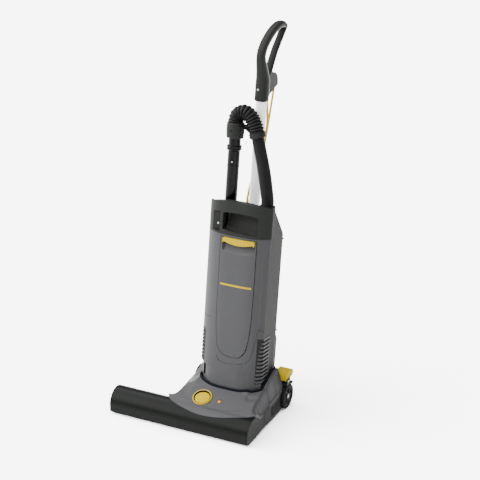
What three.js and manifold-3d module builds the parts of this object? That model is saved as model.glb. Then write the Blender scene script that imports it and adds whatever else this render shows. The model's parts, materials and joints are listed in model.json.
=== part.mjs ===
// Commercial upright vacuum cleaner: a wide brush head on wheels, and a body that leans back on it.
// Millimetres, +Z up, the brush housing faces -Y, and the origin is under the middle of the machine.
import * as THREE from "three";
import { mergeVertices } from "three/addons/utils/BufferGeometryUtils.js";
import Module from "manifold-3d";

const wasm = await Module();
wasm.setup();

// ---- driving dimensions -------------------------------------------------------------------------
// Head coordinates: x = 0 is the middle of the brush housing, y = 0 its front, z = 0 the floor.
const GAP = 0.3; // clearance between pieces that rest on each other
const WALL = 3;
const HOUSING_HALF = 240; // half of the brush housing's length
const HOUSING_BOTTOM = 8;
const ARCH_Y = 45; // centre and radius of the half-round brush housing
const ARCH_Z = 31;
const ARCH_R = 45;
const BRUSH = { y: 45, z: 36, core: 14, tip: 32, from: -222, to: 214 };
const HEAD_LEFT = -58; // the part of the head behind the brush, under the grey cover
const HEAD_RIGHT = 240;
const HEAD_BACK = 300;
const WHEEL = { y: 279, z: 40, r: 40, width: 22, right: 228, left: -68 };
const AXLE_R = 6;
const ROLLER = { y: 122, z: 12, r: 12, width: 14, left: -44, right: 176 };
const YOKE_PIVOT = { y: 150, z: 22 };
const MOTOR = { y: 152, z: 52, r: 25, from: 96, to: 205 };
const PULLEY_X = { from: 217, to: 229 };
const MOTOR_PULLEY_R = 12;
const BRUSH_PULLEY_R = 18;
const KNOB = { x: 48, y: 76, r: 27 };
const INDICATOR = { x: 108, y: 74, r: 4.6 };
const COVER_SLOPE = Math.atan(0.386); // of the cover in front of the body
const PEDAL_PIN = { y: 277, z: 95, r: 3 };
const PIVOT_PIN_R = 5;

// Body coordinates: the recline axis is the origin, y runs to the back and z up the body.
const PIVOT = { y: 245, z: 95 };
const LEAN = THREE.MathUtils.degToRad(8.5); // backward lean in the parked position
const BODY_X = 104; // middle of the body
const BODY_HALF = 100;
const BODY_FRONT = -116;
const BODY_SIDE = -80; // where the bulged front meets the side walls
const SHELL_SEAM = -76;
const BODY_BACK = 24;
const BODY_FOOT = -12;
const SHOULDER = { z: 56, out: 8 }; // above this height the left wall stands further out
const FRONT_TOP = 485;
const COVER_TOP = 590;
const TUBE = { r: 17, bore: 15.5, from: 400, to: 905 };
const WAND = { x: 50, y: -55, r: 18.5, bore: 16.5, from: 470, to: 772 };
const PORT = { x: 170, y: -50, r: 22 };
const BEND_R = 24; // outer radius of the corrugated hose
const STRETCH_R = 19.5;
const CABLE_R = 3.5;
const COIL = { x: 92, z: 330, inner: 37, outer: 73, front: 27, back: 63 };
const HOOK = { y: 60, z: 928, bend: 28, half: 4.5, cheek: 4 };

// The machine's box runs from x -240 to 250 and from y 0 to the back of the handle.
const MIDDLE_X = 5;
const MIDDLE_Y = 271.5;

// ---- materials ----------------------------------------------------------------------------------
function finish(color, roughness, metalness = 0) {
  return { color, roughness, metalness };
}
const GREY = finish(0x77777a, 0.5);
const DARK = finish(0x4b4f4a, 0.55);
const BLACK = finish(0x2c2e2c, 0.5);
const SATIN = finish(0x1d211d, 0.35);
const YELLOW = finish(0xf6dd12, 0.4);
const PALE = finish(0xe6d560, 0.45);
const RUBBER = finish(0x12171c, 0.8);
const LIGHT = finish(0xe2dfe2, 0.35, 0.2);
const STEEL = finish(0xa8abae, 0.3, 1);
const BAG = finish(0xcfc7b4, 0.9);
const LAMP = finish(0xd8e8f0, 0.2);

// ---- solids -------------------------------------------------------------------------------------
function solid(geometry) {
  const bare = geometry.clone();
  bare.deleteAttribute("normal");
  bare.deleteAttribute("uv");
  const merged = mergeVertices(bare, 1e-3);
  const vertProperties = new Float32Array(merged.attributes.position.array);
  const triVerts = new Uint32Array(merged.index.array);
  return new wasm.Manifold(new wasm.Mesh({ numProp: 3, vertProperties, triVerts }));
}

function geometryOf(manifold) {
  const mesh = manifold.getMesh();
  const geometry = new THREE.BufferGeometry();
  geometry.setAttribute("position", new THREE.BufferAttribute(new Float32Array(mesh.vertProperties), 3));
  geometry.setIndex(new THREE.BufferAttribute(new Uint32Array(mesh.triVerts), 1));
  geometry.computeVertexNormals();
  return geometry;
}

function join(first, ...others) {
  return others.reduce((whole, piece) => whole.add(piece), first);
}

function cut(first, ...others) {
  return others.reduce((whole, piece) => whole.subtract(piece), first);
}

function box([x0, x1], [y0, y1], [z0, z1]) {
  const geometry = new THREE.BoxGeometry(x1 - x0, y1 - y0, z1 - z0);
  geometry.translate((x0 + x1) / 2, (y0 + y1) / 2, (z0 + z1) / 2);
  return solid(geometry);
}

// A cylinder or cone along one axis, centred on the two other coordinates, in x, y, z order.
function rod(axis, centre, radius, from, to, sides = 32, endRadius = radius) {
  const geometry = new THREE.CylinderGeometry(endRadius, radius, to - from, sides);
  const middle = (from + to) / 2;
  if (axis === "x") {
    geometry.rotateZ(-Math.PI / 2);
    geometry.translate(middle, centre[0], centre[1]);
  } else if (axis === "y") {
    geometry.translate(centre[0], middle, centre[1]);
  } else {
    geometry.rotateX(Math.PI / 2);
    geometry.translate(centre[0], centre[1], middle);
  }
  return solid(geometry);
}

function ring(axis, centre, radius, bore, from, to, sides = 32) {
  return cut(rod(axis, centre, radius, from, to, sides), rod(axis, centre, bore, from - 1, to + 1, sides));
}

function outline(points) {
  return new THREE.Shape(points.map(([a, b]) => new THREE.Vector2(a, b)));
}

// Outlines in two axes, pushed along the third.
function prismZ(points, z0, z1) {
  const geometry = new THREE.ExtrudeGeometry(outline(points), { depth: z1 - z0, bevelEnabled: false });
  geometry.translate(0, 0, z0);
  return solid(geometry);
}

function prismX(points, x0, x1) {
  const geometry = new THREE.ExtrudeGeometry(outline(points), { depth: x1 - x0, bevelEnabled: false });
  const turn = new THREE.Matrix4().set(0, 0, 1, x0, 1, 0, 0, 0, 0, 1, 0, 0, 0, 0, 0, 1);
  geometry.applyMatrix4(turn);
  return solid(geometry);
}

function prismY(points, y0, y1) {
  const geometry = new THREE.ExtrudeGeometry(outline(points), { depth: y1 - y0, bevelEnabled: false });
  const turn = new THREE.Matrix4().set(1, 0, 0, 0, 0, 0, -1, y1, 0, 1, 0, 0, 0, 0, 0, 1);
  geometry.applyMatrix4(turn);
  return solid(geometry);
}

function arc(cx, cy, radius, fromDegrees, toDegrees, steps) {
  return Array.from({ length: steps + 1 }, (_, i) => {
    const angle = THREE.MathUtils.degToRad(fromDegrees + ((toDegrees - fromDegrees) * i) / steps);
    return [cx + radius * Math.cos(angle), cy + radius * Math.sin(angle)];
  });
}

function curveThrough(points) {
  const places = points.map(([x, y, z]) => new THREE.Vector3(x, y, z));
  return new THREE.CatmullRomCurve3(places, false, "centripetal");
}

function sweep(points, halfWidth, halfHeight, sides, steps) {
  const section = new THREE.Shape();
  for (let i = 0; i < sides; i += 1) {
    const angle = (2 * Math.PI * i) / sides;
    const x = halfWidth * Math.cos(angle);
    const y = halfHeight * Math.sin(angle);
    if (i === 0) section.moveTo(x, y);
    else section.lineTo(x, y);
  }
  section.closePath();
  return solid(new THREE.ExtrudeGeometry(section, { steps, extrudePath: curveThrough(points) }));
}

function hoseAlong(points, radius, bore, sides, steps) {
  const before = points[0].map((v, i) => v - (points[1][i] - v) * 0.2);
  const last = points.length - 1;
  const after = points[last].map((v, i) => v + (v - points[last - 1][i]) * 0.2);
  const inside = sweep([before, ...points, after], bore, bore, sides, steps + 2);
  return cut(sweep(points, radius, radius, sides, steps), inside);
}

// A turned piece: the closed outline (radius, height) goes round the z axis through the centre.
function turned(profile, [x, y], sides = 32) {
  const closed = [...profile, profile[0]].map(([r, z]) => new THREE.Vector2(r, z));
  const geometry = new THREE.LatheGeometry(closed, sides);
  geometry.rotateX(Math.PI / 2);
  geometry.translate(x, y, 0);
  return solid(geometry);
}

// A solid under a height function over a rectangle, down to a flat bottom.
function blockUnder(height, [x0, x1], [y0, y1], columns, rows, bottom) {
  const geometry = new THREE.BoxGeometry(1, 1, 1, columns, rows, 1);
  const place = geometry.attributes.position;
  for (let i = 0; i < place.count; i += 1) {
    const x = x0 + (x1 - x0) * (place.getX(i) + 0.5);
    const y = y0 + (y1 - y0) * (place.getY(i) + 0.5);
    place.setXYZ(i, x, y, place.getZ(i) > 0 ? height(x, y) : bottom);
  }
  return solid(geometry);
}

function smooth(from, to, value) {
  return THREE.MathUtils.smoothstep(value, from, to);
}

// Straight lines between (position, value) pairs.
function between(pairs, at) {
  if (at <= pairs[0][0]) return pairs[0][1];
  for (let i = 1; i < pairs.length; i += 1) {
    const [a, low] = pairs[i - 1];
    const [b, high] = pairs[i];
    if (at <= b) return low + ((high - low) * (at - a)) / (b - a);
  }
  return pairs[pairs.length - 1][1];
}

// ---- the machine's two groups -------------------------------------------------------------------
const machine = new THREE.Group();
const head = new THREE.Group();
const body = new THREE.Group();
machine.add(head);
machine.add(body);
head.position.set(-MIDDLE_X, -MIDDLE_Y, 0);
body.position.set(-MIDDLE_X, PIVOT.y - MIDDLE_Y, PIVOT.z);
body.rotation.x = -LEAN;

function add(group, name, shape, look) {
  const mesh = new THREE.Mesh(geometryOf(shape), new THREE.MeshStandardMaterial(look));
  mesh.name = name;
  group.add(mesh);
}

// ---- body outline -------------------------------------------------------------------------------
// The body seen from above: a bulged front between two flat sides, and a rounded back.
function frontCurve(inset, out = SHOULDER.out) {
  const steps = 18;
  return Array.from({ length: steps + 1 }, (_, i) => {
    const u = (2 * i) / steps - 1;
    const half = BODY_HALF - inset + (u < 0 ? out : 0);
    const side = (BODY_SIDE - BODY_FRONT) * Math.abs(u) ** 3.5;
    return [BODY_X + half * u, BODY_FRONT + inset + side];
  });
}

function bodyOutline(inset, out) {
  const corner = 20 - inset;
  const right = BODY_X + BODY_HALF - inset;
  const left = BODY_X - BODY_HALF - out + inset;
  const back = BODY_BACK - inset;
  return [
    ...frontCurve(inset, out),
    ...arc(right - corner, back - corner, corner, 0, 90, 4),
    ...arc(left + corner, back - corner, corner, 90, 180, 4),
  ];
}

function bodyWall(z0, z1) {
  const { z, out } = SHOULDER;
  const straight = (low, high, by) => cut(
    prismZ(bodyOutline(0, by), low, high),
    prismZ(bodyOutline(WALL, by), low - 1, high + 1),
  );
  const ledge = cut(
    prismZ(bodyOutline(0, out), z, z + WALL),
    prismZ(bodyOutline(WALL, 0), z - 1, z + WALL + 1),
  );
  return join(straight(z0, z + WALL, 0), straight(z, z1, out), ledge);
}

// ---- head ---------------------------------------------------------------------------------------
function archOutline(radius, bottom) {
  return [
    [ARCH_Y - radius, bottom],
    ...arc(ARCH_Y, ARCH_Z, radius, 180, 0, 20),
    [ARCH_Y + radius, bottom],
  ];
}

function makeBrushHousing() {
  const inside = ARCH_R - WALL;
  const ends = [-HOUSING_HALF + WALL + GAP, HOUSING_HALF - WALL - GAP];
  const shell = cut(
    prismX(archOutline(ARCH_R, HOUSING_BOTTOM), ...ends),
    prismX(archOutline(inside, HOUSING_BOTTOM - 1), ends[0] - 1, ends[1] + 1),
    box([HEAD_LEFT + 3, HEAD_RIGHT], [ARCH_Y + 30, ARCH_Y + 50], [0, 58]),
    box([PULLEY_X.from, PULLEY_X.to], [ARCH_Y + 20, ARCH_Y + 50], [40, 64]),
  );
  add(head, "brush_housing", shell, SATIN);
}

function makeEndCaps() {
  const bearing = [BRUSH.y, BRUSH.z];
  const left = join(
    prismX(archOutline(ARCH_R, HOUSING_BOTTOM), -HOUSING_HALF, -HOUSING_HALF + WALL),
    ring("x", bearing, 13, 7, -HOUSING_HALF + WALL - 0.5, BRUSH.from - 4, 24),
  );
  add(head, "left_end_cap", left, SATIN);

  const side = [
    [0, HOUSING_BOTTOM],
    ...arc(ARCH_Y, ARCH_Z, ARCH_R, 180, 62, 12),
    [86, 53.6],
    [117, 57.4],
    [117, 10],
    [100, 9],
    [60, HOUSING_BOTTOM - 2],
  ];
  const right = join(
    prismX(side, HOUSING_HALF - WALL, HOUSING_HALF),
    ring("x", bearing, 9, 4.3, 232, HOUSING_HALF - WALL + 0.5, 24),
  );
  add(head, "right_end_cap", right, DARK);
}

function makeSolePlate() {
  const plate = cut(
    box([-234, 234], [4, 94], [4, 7.5]),
    box([-216, 216], [15, 76], [0, 10]),
  );
  const bridge = [[12, 1.4], [79, 1.4], [79, 5], [75.5, 5], [72, 3.2], [19, 3.2], [15.5, 5], [12, 5]];
  const bridges = [-108, 0, 108].map((x) => prismX(bridge, x - 3, x + 3));
  add(head, "sole_plate", join(plate, ...bridges), BLACK);
}

// Height of the grey cover. It lies on the brush housing at the front, climbs to the body's foot,
// stands highest beside the body, and rolls down to the seam at both sides.
function coverHeight(x, y) {
  const rise = [[45, 79], [128, 111], [176, 118], [213, 131], [240, 140], [300, 142]];
  const archTop = ARCH_Z + Math.sqrt(ARCH_R ** 2 - Math.min(ARCH_R, Math.abs(y - ARCH_Y)) ** 2) + 2.6;
  let height = y < ARCH_Y ? archTop : between(rise, y);
  const beside = smooth(60, 170, y);
  if (x < 0) height += 0.75 * x * beside;
  const seam = between([[60, 79], [90, 60], [160, 66], [234, 72], [300, 78]], y);
  const roll = Math.max(smooth(216, HEAD_RIGHT, x), 1 - smooth(HEAD_LEFT - 4, -32, x));
  return height - Math.max(0, height - seam) * roll * smooth(45, 90, y);
}

// The cover's front edge sweeps over the brush housing.
function coverEdge() {
  const front = [[-66, 60], [-50, 42], [-27, 33], [3, 24], [35, 18], [70, 15], [104, 16], [138, 20],
    [170, 27], [198, 36], [222, 46], [HEAD_RIGHT, 57]];
  const back = [[HEAD_RIGHT, 291], [232, HEAD_BACK], [-50, HEAD_BACK], [HEAD_LEFT, 290]];
  return [...front, ...back, [HEAD_LEFT, 96], [-64, 76]];
}

// The opening for the body, and the room behind it that the body leans into.
function wellOutline(room) {
  const half = BODY_HALF + room;
  const front = frontCurve(0, 0).map(([x, y]) => [
    BODY_X + ((x - BODY_X) * half) / BODY_HALF,
    PIVOT.y + y * Math.cos(LEAN) - room + 1,
  ]);
  return [...front, [BODY_X + half, HEAD_BACK + 20], [BODY_X - half, HEAD_BACK + 20]];
}

// A hole square to the sloping cover.
function coverHole(x, y, radius) {
  const geometry = new THREE.CylinderGeometry(radius, radius, 60, 36);
  geometry.rotateX(Math.PI / 2 + COVER_SLOPE);
  geometry.translate(x, y, coverHeight(x, y));
  return solid(geometry);
}

function makeCover() {
  const lower = (x, y) => coverHeight(x, y) - WALL;
  const span = [[-70, 242], [10, 302]];
  const skin = cut(
    blockUnder(coverHeight, ...span, 26, 24, 40),
    blockUnder(lower, [HEAD_LEFT + WALL, HEAD_RIGHT - WALL], [0, HEAD_BACK - WALL], 22, 22, 30),
  ).intersect(prismZ(coverEdge(), 35, 170));
  const overArch = prismX(archOutline(ARCH_R + GAP, 0), -300, 300);
  const seamLine = [[60, 74.6], [87, 54.4], [121, 58.7], [160, 61.5], [234, 67.5], [310, 73.5]];
  const seam = [[60, 0], ...seamLine, [310, 0]];
  const wheelRoom = rod("x", [WHEEL.y, WHEEL.z], WHEEL.r + 4, WHEEL.right - 4, 260);
  const wheelRoomLeft = rod("x", [WHEEL.y, WHEEL.z], WHEEL.r + 4, -80, WHEEL.left + WHEEL.width + 4);
  const cover = cut(
    skin,
    overArch,
    prismX(seam, -300, 300),
    wheelRoom,
    wheelRoomLeft,
    prismZ(wellOutline(8.6), 30, 170),
    coverHole(KNOB.x, KNOB.y, KNOB.r + 3.7),
    coverHole(INDICATOR.x, INDICATOR.y, INDICATOR.r + GAP),
    box([203, 252], [264, 310], [60, 160]),
  );
  add(head, "head_cover", cover, GREY);
}

// Rubber strip round the opening, from its left back, past the front, to its right back.
function makeSeal() {
  const level = (lift) => (x, y) => coverHeight(THREE.MathUtils.clamp(x, 0, 208), y) + lift;
  const strip = cut(prismZ(wellOutline(8), 70, 170), prismZ(wellOutline(3.2), 60, 180));
  const band = cut(
    blockUnder(level(5), [-8, 216], [110, 300], 14, 20, 60),
    blockUnder(level(-7), [-10, 218], [108, 302], 14, 20, 50),
  );
  add(head, "rubber_seal", strip.intersect(band).intersect(box([-20, 230], [100, 262], [60, 170])), RUBBER);
}

function makeChassis() {
  const right = HEAD_RIGHT - 3.6;
  const sides = [[160, 61.1], [234, 67.1], [245, 68], [245, 8]];
  const whole = join(
    box([HEAD_LEFT, right], [96, HEAD_BACK], [8, 11]),
    cut(
      box([HEAD_LEFT, right], [96, HEAD_BACK], [8, 52]),
      box([HEAD_LEFT + WALL, 234], [99, HEAD_BACK - WALL], [7, 60]),
    ),
    prismX([[118, 10], [118, 57.4], ...sides, [200, 7]], 234, HEAD_RIGHT),
    prismX([[99, 8], [99, 55], [121, 57.4], ...sides], HEAD_LEFT, HEAD_LEFT + WALL),
    ...[-36, 224].map((x) => box([x - 4, x + 4], [258, 299], [9, 62])),
    ...[[-6, 0.5], [207.5, 214]].map((span) => box(span, [232, 258], [9, 106])),
    box([164, 196], [142, 162], [9, MOTOR.z - MOTOR.r + 3]),
    ...[-20, 152].map((x) => box([x - 3, x + 3], [YOKE_PIVOT.y - 6, YOKE_PIVOT.y + 6], [9, 29])),
  );
  const wheel = [WHEEL.y, WHEEL.z];
  const chassis = cut(
    whole,
    rod("x", wheel, WHEEL.r + 4, WHEEL.right - 3, 260),
    rod("x", wheel, WHEEL.r + 4, -80, WHEEL.left + WHEEL.width + 3),
    rod("x", wheel, AXLE_R + GAP, -100, 260, 24),
    rod("x", [PIVOT.y, PIVOT.z], PIVOT_PIN_R + GAP, -100, 260, 20),
    rod("x", [YOKE_PIVOT.y, YOKE_PIVOT.z], 3 + GAP, -26, 160, 16),
    rod("x", [MOTOR.y, MOTOR.z], MOTOR.r + GAP, MOTOR.from - 1, MOTOR.to),
    box([-52, 198], [100, 141], [0, 12.5]),
    box([60, 130], [90, 100], [18, 50]),
    box([214, 232], [90, 100], [14, 60]),
    box([237, 241], [168, 228], [18, 52]),
  );
  add(head, "lower_chassis", chassis, DARK);
}

function makeSideVent() {
  const back = box([237.3, 238.4], [168.3, 227.7], [18.3, 51.7]);
  const ribs = Array.from({ length: 6 }, (_, i) => {
    const y = 171 + i * 10;
    return box([238, 240.4], [y, y + 5], [20, 50]);
  });
  add(head, "side_vent", join(back, ...ribs), RUBBER);
}

function makeWheels() {
  for (const [side, x] of [["left", WHEEL.left], ["right", WHEEL.right]]) {
    const centre = [WHEEL.y, WHEEL.z];
    const outer = side === "right" ? [x + 15, x + WHEEL.width + 1] : [x - 1, x + 7];
    const lightening = Array.from({ length: 5 }, (_, i) => {
      const angle = (2 * Math.PI * i) / 5;
      const spot = [WHEEL.y + 19 * Math.cos(angle), WHEEL.z + 19 * Math.sin(angle)];
      return rod("x", spot, 5, ...outer, 12);
    });
    const hub = cut(
      rod("x", centre, 31, x, x + WHEEL.width, 40),
      rod("x", centre, AXLE_R + GAP, x - 1, x + WHEEL.width + 1, 20),
      ...lightening,
    );
    add(head, `wheel_hub_${side}`, hub, DARK);
    const tread = ring("x", centre, WHEEL.r, 31 + GAP, x + 1, x + WHEEL.width - 1, 40);
    add(head, `wheel_tyre_${side}`, tread, RUBBER);
  }
  const ends = [WHEEL.left + 1, WHEEL.right + WHEEL.width - 1];
  add(head, "wheel_axle", rod("x", [WHEEL.y, WHEEL.z], AXLE_R, ...ends, 20), STEEL);
}

// A bar with two small rollers carries the front of the head. The height knob swings it down.
function makeRollerYoke() {
  const arm = [[154, 18], [154, 26], [146, 26], [118, 16], [118, 8], [124, 8]];
  const yoke = join(
    rod("x", [YOKE_PIVOT.y, YOKE_PIVOT.z], 3, -26, 158, 16),
    rod("x", [ROLLER.y, ROLLER.z], 3, ROLLER.left - 4, ROLLER.right + ROLLER.width + 4, 16),
    prismX(arm, -16.5, -11.5),
    prismX(arm, 143.5, 148.5),
  );
  add(head, "roller_yoke", yoke, STEEL);
  for (const side of ["left", "right"]) {
    const x = ROLLER[side];
    const wheel = ring("x", [ROLLER.y, ROLLER.z], ROLLER.r, 3 + GAP, x, x + ROLLER.width, 28);
    add(head, `front_roller_${side}`, wheel, RUBBER);
  }
}

function makeBrush() {
  const centre = [BRUSH.y, BRUSH.z];
  const core = join(
    rod("x", centre, BRUSH.core, BRUSH.from, BRUSH.to, 28),
    rod("x", centre, 6.5, BRUSH.from - 12, BRUSH.from + 1, 20),
    rod("x", centre, BRUSH_PULLEY_R, PULLEY_X.from, PULLEY_X.to, 28),
    rod("x", centre, 4, BRUSH.to - 1, 236, 16),
  );
  add(head, "brush_core", core, BLACK);
  const length = BRUSH.to - BRUSH.from - 24;
  const steps = 28;
  const root = BRUSH.core + 0.9;
  const bristles = [0, Math.PI].map((start) => {
    const geometry = new THREE.BoxGeometry(length, BRUSH.tip - root, 7, steps, 1, 1);
    geometry.translate(0, (BRUSH.tip + root) / 2, 0);
    const place = geometry.attributes.position;
    for (let i = 0; i < place.count; i += 1) {
      const turn = start + 3 * Math.PI * Math.abs(place.getX(i) / length);
      const [y, z] = [place.getY(i), place.getZ(i)];
      place.setY(i, y * Math.cos(turn) - z * Math.sin(turn));
      place.setZ(i, y * Math.sin(turn) + z * Math.cos(turn));
    }
    geometry.translate((BRUSH.from + BRUSH.to) / 2, BRUSH.y, BRUSH.z);
    return solid(geometry);
  });
  const sleeve = ring("x", centre, BRUSH.core + 1.5, BRUSH.core + GAP, BRUSH.from + 12, BRUSH.to - 12, 28);
  add(head, "brush_bristles", join(sleeve, ...bristles), BLACK);
}

function makeDrive() {
  const centre = [MOTOR.y, MOTOR.z];
  const shaft = rod("x", centre, 4 + GAP, MOTOR.to - 12, MOTOR.to + 4, 16);
  const nose = rod("x", centre, 14, MOTOR.to - 9, MOTOR.to, 24);
  const can = cut(join(rod("x", centre, MOTOR.r, MOTOR.from, MOTOR.to - 8, 32), nose), shaft);
  add(head, "brush_motor", can, STEEL);
  const pulley = join(
    rod("x", centre, MOTOR_PULLEY_R, PULLEY_X.from, PULLEY_X.to, 24),
    rod("x", centre, 4, MOTOR.to - 11, PULLEY_X.from + 1, 16),
  );
  add(head, "motor_pulley", pulley, STEEL);

  // The belt wraps both pulleys: the outline of two circles and their outer tangents.
  const away = Math.hypot(MOTOR.y - BRUSH.y, MOTOR.z - BRUSH.z);
  const slope = THREE.MathUtils.radToDeg(Math.atan2(MOTOR.z - BRUSH.z, MOTOR.y - BRUSH.y));
  const open = THREE.MathUtils.radToDeg(Math.acos((BRUSH_PULLEY_R - MOTOR_PULLEY_R) / away));
  const loop = (grow) => [
    ...arc(BRUSH.y, BRUSH.z, BRUSH_PULLEY_R + grow, slope + open, slope + 360 - open, 16),
    ...arc(MOTOR.y, MOTOR.z, MOTOR_PULLEY_R + grow, slope - open, slope + open, 12),
  ];
  const belt = cut(prismX(loop(3), 219, 227), prismX(loop(0.4), 218, 228));
  add(head, "drive_belt", belt, RUBBER);
}

// A group lying on the sloping cover, with its own z square to the surface.
function seatOnCover(x, y) {
  const seat = new THREE.Group();
  seat.position.set(x, y, coverHeight(x, y));
  seat.rotation.x = COVER_SLOPE;
  head.add(seat);
  return seat;
}

function makeKnob() {
  const seat = seatOnCover(KNOB.x, KNOB.y);
  add(seat, "knob_ring", ring("z", [0, 0], KNOB.r + 3.4, KNOB.r - 1, -3.6, 1.6, 40), PALE);
  const dial = join(
    rod("z", [0, 0], KNOB.r - 1.6, -3.4, 0.6, 36),
    rod("z", [0, 0], 10, -12, -3, 20),
    box([-17, 17], [-2.5, 2.5], [0, 3.4]),
  );
  add(seat, "height_knob", dial, YELLOW);
  const lamp = rod("z", [0, 0], INDICATOR.r, -6, 0.8, 16);
  add(seatOnCover(INDICATOR.x, INDICATOR.y), "brush_indicator", lamp, PALE);
}

// The release pedal over the right wheel, on a pin between two ears.
function makePedal() {
  const pin = [PEDAL_PIN.y, PEDAL_PIN.z];
  const bracket = cut(
    join(
      ...[206, 247].map((x) => box([x, x + 2.6], [266, 290], [82, 102])),
      box([206, 249.6], [266, 290], [82, 84]),
      box([208, 215], [262, 290], [11.3, 84]),
    ),
    rod("x", pin, PEDAL_PIN.r + GAP, 200, 260, 16),
    rod("x", [WHEEL.y, WHEEL.z], AXLE_R + GAP, 200, 260, 24),
  );
  add(head, "pedal_bracket", bracket, BLACK);
  add(head, "pedal_pin", rod("x", pin, PEDAL_PIN.r, 204.8, 250, 16), STEEL);
  const under = [[268, 90], [288, 88], [312, 94], [322, 104]];
  const side = [...under, [320, 114], [303, 126], [282, 127], [268, 118]];
  const pedal = cut(
    prismX(side, 210, 246),
    rod("x", pin, PEDAL_PIN.r + GAP, 200, 260, 16),
    box([214, 242], [286, 312], [70, 104]),
  );
  add(head, "foot_pedal", pedal, YELLOW);
}

function makePivotPins() {
  const centre = [PIVOT.y, PIVOT.z];
  const left = join(rod("x", centre, PIVOT_PIN_R, -7, 12, 20), rod("x", centre, 8, -9, -6.3, 20));
  const right = join(rod("x", centre, PIVOT_PIN_R, 196, 215, 20), rod("x", centre, 8, 214.3, 217, 20));
  add(head, "pivot_pin_left", left, STEEL);
  add(head, "pivot_pin_right", right, STEEL);
}

// ---- body ---------------------------------------------------------------------------------------
const DOOR = { left: 52, right: 170, top: 478, bottom: 101 };

function doorOutline(grow) {
  const left = DOOR.left - grow;
  const right = DOOR.right + grow;
  const bottom = DOOR.bottom - grow;
  return [
    [left, DOOR.top + grow],
    [left, 210],
    [left + 6, 150],
    ...arc(left + 40, bottom + 30, 30, 190, 270, 5),
    ...arc(right - 40, bottom + 34, 34, 270, 350, 5),
    [right, 270],
    [right, DOOR.top + grow],
  ];
}

const VENT = { front: -96, back: -32, bottom: 18, top: 168 };

function ventWindow(side, gap) {
  const x = side === "right" ? [BODY_X + 62, 230] : [-30, BODY_X - 62];
  return box(x, [VENT.front + gap, VENT.back - gap], [VENT.bottom + gap, VENT.top - gap]);
}

function makeShells() {
  const wall = bodyWall(BODY_FOOT, FRONT_TOP - GAP);
  const frontHalf = box([-50, 260], [-140, SHELL_SEAM - GAP], [-50, 700]);
  const windows = ["left", "right"].map((side) => ventWindow(side, 0));
  const front = cut(wall.intersect(frontHalf), prismY(doorOutline(0.6), -130, -60), ...windows);
  add(body, "front_shell", front, GREY);

  const backHalf = box([-50, 260], [SHELL_SEAM, 100], [-50, 700]);
  const bulge = [[BODY_BACK - 4, -5], [47, -5], [47, 132], [BODY_BACK, 170], [BODY_BACK - 4, 170]];
  const inner = BODY_BACK - 8;
  const bulgeRoom = [[inner, -20], [44, -20], [44, 130], [BODY_BACK - 3, 164], [inner, 164]];
  const deck = [[-56.6, 486.5], [-56.6, 483], [15, 464], [23, 464], [23, 467], [16, 467.5]];
  const rear = cut(
    join(
      bodyWall(BODY_FOOT, 600).intersect(backHalf),
      box([-2, 202], [SHELL_SEAM, BODY_BACK - 1], [168.5, 171.5]),
      prismX(deck, -2, 202),
      rod("z", [BODY_X, 0], TUBE.r + 4, 392, 488, 28),
      prismX(bulge, 16, 192),
    ),
    prismX([[-57, 562], [40, 448], [80, 448], [80, 700], [-90, 700], [-90, 562]], -50, 260),
    box([-50, 260], [-100, -56.7], [FRONT_TOP - GAP, 700]),
    prismX(bulgeRoom, 19, 189),
    rod("z", [BODY_X, 0], TUBE.r + GAP, TUBE.from - GAP, 500, 28),
    rod("z", [BODY_X - 30, -30], 22, 160, 180, 24),
    rod("z", [WAND.x, WAND.y], WAND.r + GAP, 440, 560, 28),
    rod("z", [PORT.x, PORT.y], PORT.r + GAP, 440, 560, 28),
    rod("x", [0, 0], PIVOT_PIN_R + GAP, -50, 260, 20),
    ...windows,
  );
  add(body, "rear_shell", rear, DARK);
}

function makeVents() {
  for (const side of ["left", "right"]) {
    const pitch = (VENT.top - VENT.bottom) / 13;
    const slots = Array.from({ length: 12 }, (_, i) => {
      const z = VENT.bottom + pitch * (i + 0.75);
      const x = side === "right" ? [BODY_X + 74, 230] : [-30, BODY_X - 74];
      return box(x, [VENT.front + 5, VENT.back - 6], [z, z + pitch * 0.5]);
    });
    const grille = cut(bodyWall(0, 200).intersect(ventWindow(side, GAP)), ...slots);
    add(body, `vent_grille_${side}`, grille, DARK);
  }
}

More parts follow.
